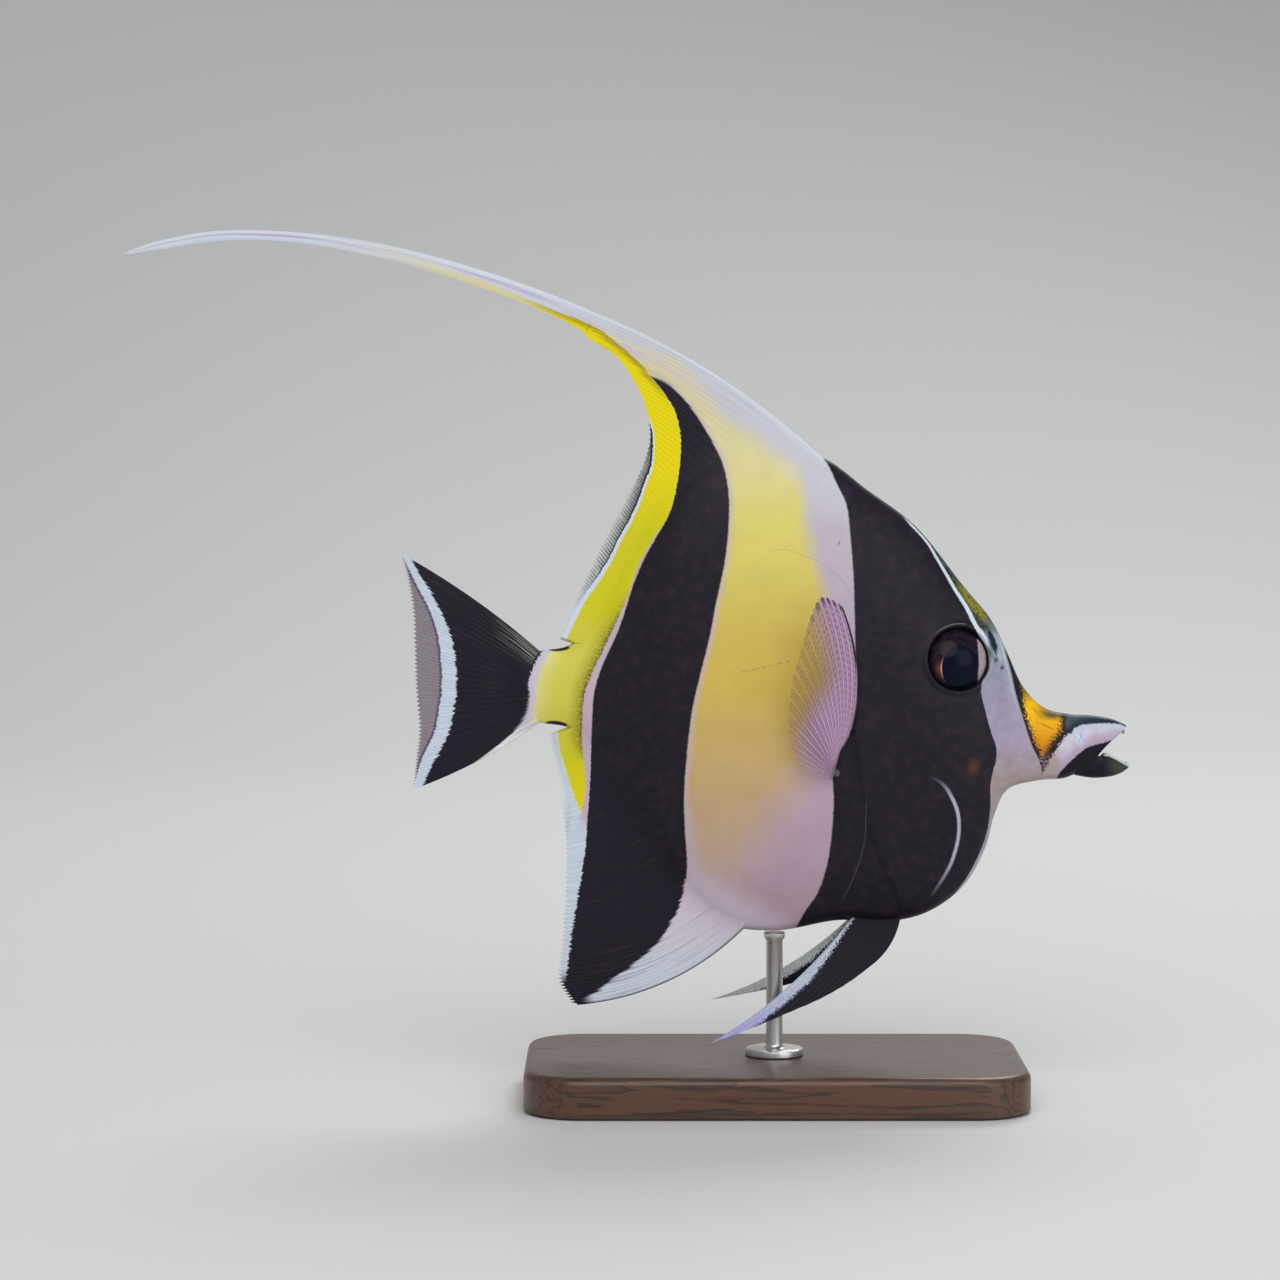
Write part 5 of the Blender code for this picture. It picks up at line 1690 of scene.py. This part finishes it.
def eye_mesh(side):
    """An eyeball of many rings, with fields for its pupil and the pale parts of its iris."""
    normal = side_normal(*EYE)
    centre = Vector((EYE[0], float(side_at(*EYE)), EYE[1])) - normal * EYE_SUNK
    bm = bmesh.new()
    bmesh.ops.create_uvsphere(bm, u_segments=112, v_segments=72, radius=1.0)
    turn = Vector((0, 0, 1)).rotation_difference(normal).to_matrix()
    for vert in bm.verts:
        flat = Vector((vert.co.x, vert.co.y, 0)).length
        bulge = 0.35 * max(0.0, 1 - (flat / 0.75) ** 2) if vert.co.z > 0 else 0.0
        scaled = Vector(
            (vert.co.x * EYE_RADIUS, vert.co.y * EYE_RADIUS, vert.co.z * EYE_DEPTH + bulge)
        )
        place = centre + turn @ scaled
        vert.co = Vector((place.x, place.y * side, place.z + LEVEL)) * MM
    bmesh.ops.recalc_face_normals(bm, faces=bm.faces)
    mesh = bpy.data.meshes.new("eye")
    bm.to_mesh(mesh)
    bm.free()
    x, _, z = positions(mesh).T
    dx, dz = x - EYE[0], z - EYE[1]
    add_field(mesh, "pupil", 4.35 * (1 - np.hypot((dx - 0.1) / 4.35, (dz + 2.0) / 5.2)))
    front = dx - 4.6 + 0.05 * np.abs(dz + 1)
    add_field(mesh, "front", np.minimum(6.7 - np.hypot(dx - 0.3, dz + 0.6), front))
    add_field(mesh, "rear", (1 - smooth(-3.6, -2.8, dx)) * bell(dz + 2.2, 1.7))
    mesh.shade_smooth()
    return mesh


class IDOL_OT_eyes(bpy.types.Operator):
    """Builds both eyes in their sockets"""

    bl_idname = "idol.eyes"
    bl_label = "Eyes"

    def execute(self, context):
        material = build_eye_material(context.scene.idol_eye)
        for label, side in SIDES:
            piece = new_object(f"glossy_eye_{label}", eye_mesh(side))
            settle(piece, material, "eye", f"eye_{label}")
        return {"FINISHED"}


def bristle(points, faces, root, tip, radius):
    """Adds one slender tooth of five sides to lists of points and faces."""
    start = len(points)
    for k in range(5):
        turn = 2 * math.pi * k / 5
        x, y = root[0] + radius * math.cos(turn), root[1] + radius * math.sin(turn)
        points.append((x, y, root[2]))
    points.append(tip)
    faces.append(tuple(range(start, start + 5)))
    for k in range(5):
        faces.append((start + k, start + (k + 1) % 5, start + 5))


class IDOL_OT_teeth(bpy.types.Operator):
    """Builds the bristle teeth of both jaws"""

    bl_idname = "idol.teeth"
    bl_label = "Teeth"

    def execute(self, context):
        points, faces = [], []
        for k in range(-5, 6):
            y = 0.14 * k
            back = 0.028 * k * k
            bristle(points, faces, (83.9 - back, y, -7.3), (84.05 - back, 1.05 * y, -8.35), 0.09)
            bristle(points, faces, (84.55 - back, y, -15.7), (84.6 - back, 1.05 * y, -14.75), 0.09)
        mesh = to_mesh("bristle_teeth", np.array(points), faces)
        piece = new_object("bristle_teeth", mesh)
        settle(piece, build_tooth_material(), "snout_skin")
        return {"FINISHED"}


class IDOL_OT_dorsal_fin(bpy.types.Operator):
    """Builds the dorsal fin with its long filament"""

    bl_idname = "idol.dorsal_fin"
    bl_label = "Dorsal fin"

    def execute(self, context):
        scene = context.scene
        rays = scene.idol_fins.dorsal_rays
        for_ray, rows = GRID["dorsal"]
        columns = rays * for_ray
        shared = round(columns * FILAMENT_SHARE)
        ridge = branching(rays, (0.5,))
        tips = scene.idol_fins.tips / MM / 40
        blade = fin_sheet(
            median_place(DORSAL_RAYS, 1, BOW["dorsal"]),
            columns,
            rows,
            ridge,
            median_thick(1, 0.4, 0.14),
            tips,
            skip=lambda i, side: side == 1 and i < shared,
        )
        a_share = shared / columns

        def filament(a, b):
            return filament_place(a * a_share / FILAMENT_SHARE, b)

        def filament_ridge(a, b):
            return ridge(a * a_share, np.ones_like(b))

        def filament_thick(a, b, height, away, x, z):
            round_edge = np.sqrt(np.clip(1 - (2 * a - 1) ** 2, 0.12, 1))
            start = 0.5 * mix(0.26, 0.4, height)
            return mix(start, (0.36 - 0.12 * b) * round_edge, smooth(0, 0.1, b))

        streamer = fin_sheet(
            filament,
            shared,
            FILAMENT_ROWS,
            filament_ridge,
            filament_thick,
            skip=lambda i, side: side == 0,
        )
        streamer[2]["across"] *= a_share
        streamer[2]["along"] += 1.0
        piece = fin_object("rayed_dorsal_fin", (blade, streamer), DORSAL_LINES)
        material = build_dorsal_material(scene.idol_skin, scene.idol_fins)
        nodes = ["dorsal_fin_front", "dorsal_fin_rear"]
        nodes += [f"dorsal_filament_{part}" for part in ("root", "mid", "tip")]
        settle(piece, material, "fin_membrane", *nodes)
        return {"FINISHED"}


class IDOL_OT_anal_fin(bpy.types.Operator):
    """Builds the anal fin"""

    bl_idname = "idol.anal_fin"
    bl_label = "Anal fin"

    def execute(self, context):
        scene = context.scene
        rays = scene.idol_fins.anal_rays
        for_ray, rows = GRID["anal"]
        sheet = fin_sheet(
            median_place(ANAL_RAYS, -1, BOW["anal"]),
            rays * for_ray,
            rows,
            branching(rays, (0.5,)),
            median_thick(-1, 0.38, 0.12),
            scene.idol_fins.tips / MM / 30,
        )
        piece = fin_object("rayed_anal_fin", (sheet,), ANAL_LINES)
        material = build_anal_material(scene.idol_skin, scene.idol_fins)
        settle(piece, material, "fin_membrane", "anal_fin")
        return {"FINISHED"}


class IDOL_OT_tail_fin(bpy.types.Operator):
    """Builds the tail fin"""

    bl_idname = "idol.tail_fin"
    bl_label = "Tail fin"

    def execute(self, context):
        scene = context.scene
        rays = scene.idol_fins.tail_rays
        for_ray, rows = GRID["tail"]
        sheet = fin_sheet(
            tail_place,
            rays * for_ray,
            rows,
            branching(rays, (0.3, 0.62)),
            tail_thick,
            scene.idol_fins.tips / MM / 30,
            edge=-1,
        )
        piece = fin_object("rayed_tail_fin", (sheet,), TAIL_LINES)
        material = build_tail_material(scene.idol_skin, scene.idol_fins)
        settle(piece, material, "fin_membrane", "caudal_fin")
        return {"FINISHED"}


class IDOL_OT_pectoral_fins(bpy.types.Operator):
    """Builds both pectoral fins"""

    bl_idname = "idol.pectoral_fins"
    bl_label = "Pectoral fins"

    def execute(self, context):
        fins = context.scene.idol_fins
        material = build_pectoral_material(fins)
        for_ray, rows = GRID["pectoral"]
        for label, side in SIDES:
            sheet = fin_sheet(
                pectoral_place(side),
                fins.pectoral_rays * for_ray,
                rows,
                branching(fins.pectoral_rays, (0.72,)),
                tapered(1.1, 0.26, 0.13, even_flare(0.2)),
                fins.tips / MM / 60,
            )
            piece = fin_object(f"rayed_pectoral_{label}", (sheet,))
            settle(piece, material, "clear_membrane", f"pectoral_fin_{label}")
        return {"FINISHED"}


class IDOL_OT_pelvic_fins(bpy.types.Operator):
    """Builds both pelvic fins"""

    bl_idname = "idol.pelvic_fins"
    bl_label = "Pelvic fins"

    def execute(self, context):
        fins = context.scene.idol_fins
        material = build_pelvic_material(fins)
        for_ray, rows = GRID["pelvic"]
        for label, side in SIDES:
            sheet = fin_sheet(
                pelvic_place(label, side),
                fins.pelvic_rays * for_ray,
                rows,
                branching(fins.pelvic_rays, (0.45,)),
                tapered(1.3, 0.4, 0.14, even_flare(1.6)),
                0.01,
            )
            piece = fin_object(f"rayed_pelvic_{label}", (sheet,))
            settle(piece, material, "fin_membrane", f"pelvic_fin_{label}")
        return {"FINISHED"}


def slab_mesh(low, high):
    """A slab with round corners, an eased lower edge and a rounded upper edge, in metres."""
    corner, rounding = 0.014, 0.002
    profile = [(0.0012, low.z), (0.0, low.z + 0.0008)]
    for turn in np.linspace(0, math.pi / 2, 9):
        inset = rounding * (1 - math.cos(turn))
        profile.append((inset, high.z - rounding * (1 - math.sin(turn))))
    profile.append((2 * rounding, high.z))
    rings = []
    for inset, z in profile:
        for quarter in range(4):
            sign_x, sign_y = ((1, 1), (-1, 1), (-1, -1), (1, -1))[quarter]
            for turn in np.linspace(0, math.pi / 2, 17) + quarter * math.pi / 2:
                rings.append(
                    (
                        sign_x * (high.x - corner) + (corner - inset) * math.cos(turn),
                        sign_y * (high.y - corner) + (corner - inset) * math.sin(turn),
                        z,
                    )
                )
    faces = ring_faces(len(profile), len(rings) // len(profile))
    return to_mesh("wooden_base", np.array(rings) / MM - (0, 0, LEVEL), faces)


def rod_mesh(low, high):
    """A turned rod with a foot, soft fillets and a small pad, from its box in metres."""
    shaft, pad, foot, fillet, around = 0.002, 0.0026, 0.0016, 0.001, 64
    profile = [(0.0, high.z), (pad - 0.0003, high.z), (pad, high.z - 0.0003)]
    profile += [(pad, high.z - 0.0012), (shaft, high.z - 0.0022)]
    for turn in np.linspace(0, math.pi / 2, 8):
        z = low.z + foot + fillet * (1 - math.sin(turn))
        profile.append((shaft + fillet * (1 - math.cos(turn)), z))
    profile += [(high.x - 0.0004, low.z + foot), (high.x - 0.0001, low.z + foot - 0.0002)]
    profile += [(high.x, low.z + foot - 0.0005), (high.x, low.z), (0.0, low.z)]
    turns = [2 * math.pi * k / around for k in range(around)]
    points = [(r * math.cos(turn), r * math.sin(turn), z) for r, z in profile for turn in turns]
    faces = ring_faces(len(profile), around, ends=False)
    return to_mesh("steel_rod", np.array(points) / MM - (0, 0, LEVEL), faces)


class IDOL_OT_stand(bpy.types.Operator):
    """Builds the wooden base and the steel rod"""

    bl_idname = "idol.stand"
    bl_label = "Stand"

    def execute(self, context):
        stand = context.scene.idol_stand
        base = new_object("wooden_base", slab_mesh(*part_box("stand_base")))
        shade(base.data, 35)
        settle(base, build_wood_material(stand), "stand_wood", "stand_base")
        rod = new_object("steel_rod", rod_mesh(*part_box("stand_rod")))
        shade(rod.data, 35)
        settle(rod, build_steel_material(stand), "stand_steel", "stand_rod")
        return {"FINISHED"}


def add_light(name, place, size, power, tint):
    light = bpy.data.lights.new(name, "AREA")
    light.shape = "DISK"
    light.size = size
    light.energy = power
    light.color = tint
    lamp = new_object(name, light)
    lamp.location = place
    lamp.rotation_euler = (Vector(LIT) - Vector(place)).to_track_quat("-Z", "Y").to_euler()


class IDOL_OT_stage(bpy.types.Operator):
    """Builds the floor, the lights and the camera"""

    bl_idname = "idol.stage"
    bl_label = "Stage"

    def execute(self, context):
        scene = context.scene
        stage = scene.idol_stage
        scene.view_settings.view_transform = "Standard"
        near, bend, radius, top, half = -2.5, 0.9, 0.9, 3.2, 4.0
        profile = [(near, 0.0), (bend, 0.0)]
        for turn in np.linspace(0, math.pi / 2, 24):
            profile.append((bend + radius * math.sin(turn), radius * (1 - math.cos(turn))))
        profile.append((bend + radius, top))
        points = [(x, y, z) for y, z in profile for x in (-half, half)]
        faces = [(2 * k, 2 * k + 1, 2 * k + 3, 2 * k + 2) for k in range(len(profile) - 1)]
        mesh = bpy.data.meshes.new("floor")
        mesh.from_pydata(points, [], faces)
        mesh.shade_smooth()
        floor = new_object("floor", mesh)
        g = Graph("floor_paint")
        tint = g.mix(g.noise(900.0, 2.0), stage.floor, tuple(0.97 * c for c in stage.floor))
        mesh.materials.append(g.finish(Base_Color=tint, Roughness=0.85))

        world = bpy.data.worlds.new("studio")
        world.use_nodes = True
        background = world.node_tree.nodes["Background"]
        background.inputs["Color"].default_value = (0.93, 0.96, 1.0, 1.0)
        background.inputs["Strength"].default_value = 0.31
        scene.world = world
        for name, light in LIGHTS.items():
            add_light(name, *light)

        back = Vector(
            (
                math.sin(stage.azimuth) * math.cos(stage.elevation),
                -math.cos(stage.azimuth) * math.cos(stage.elevation),
                math.sin(stage.elevation),
            )
        )
        camera = bpy.data.cameras.new("camera")
        camera.lens = stage.lens
        camera.sensor_width = 36.0
        camera.clip_start = 0.01
        holder = new_object("camera", camera)
        holder.location = Vector(SIGHT) + back * stage.distance
        holder.rotation_euler = (-back).to_track_quat("-Z", "Y").to_euler()
        scene.camera = holder
        return {"FINISHED"}


GROUPS = {
    "idol_skin": IDOL_PG_skin,
    "idol_eye": IDOL_PG_eye,
    "idol_fins": IDOL_PG_fins,
    "idol_stand": IDOL_PG_stand,
    "idol_stage": IDOL_PG_stage,
}
OPERATORS = (
    IDOL_OT_skin,
    IDOL_OT_eyes,
    IDOL_OT_teeth,
    IDOL_OT_dorsal_fin,
    IDOL_OT_anal_fin,
    IDOL_OT_tail_fin,
    IDOL_OT_pectoral_fins,
    IDOL_OT_pelvic_fins,
    IDOL_OT_stand,
    IDOL_OT_stage,
)


class IDOL_PT_panel(bpy.types.Panel):
    """Lists the pieces of the model with their sizes and colours"""

    bl_idname = "IDOL_PT_panel"
    bl_label = "Moorish idol"
    bl_space_type = "VIEW_3D"
    bl_region_type = "UI"
    bl_category = "Moorish idol"

    def draw(self, context):
        for operator in OPERATORS:
            self.layout.operator(operator.bl_idname)
        for group, kind in GROUPS.items():
            box = self.layout.box()
            for prop in kind.__annotations__:
                box.prop(getattr(context.scene, group), prop)


def register():
    for group, kind in GROUPS.items():
        bpy.utils.register_class(kind)
        setattr(bpy.types.Scene, group, PointerProperty(type=kind))
    for operator in OPERATORS:
        bpy.utils.register_class(operator)
    bpy.utils.register_class(IDOL_PT_panel)


def unregister():
    bpy.utils.unregister_class(IDOL_PT_panel)
    for operator in reversed(OPERATORS):
        bpy.utils.unregister_class(operator)
    for group, kind in reversed(GROUPS.items()):
        delattr(bpy.types.Scene, group)
        bpy.utils.unregister_class(kind)


def main():
    register()
    for operator in OPERATORS:
        getattr(bpy.ops.idol, operator.bl_idname.split(".")[1])()


if __name__ == "__main__":
    main()
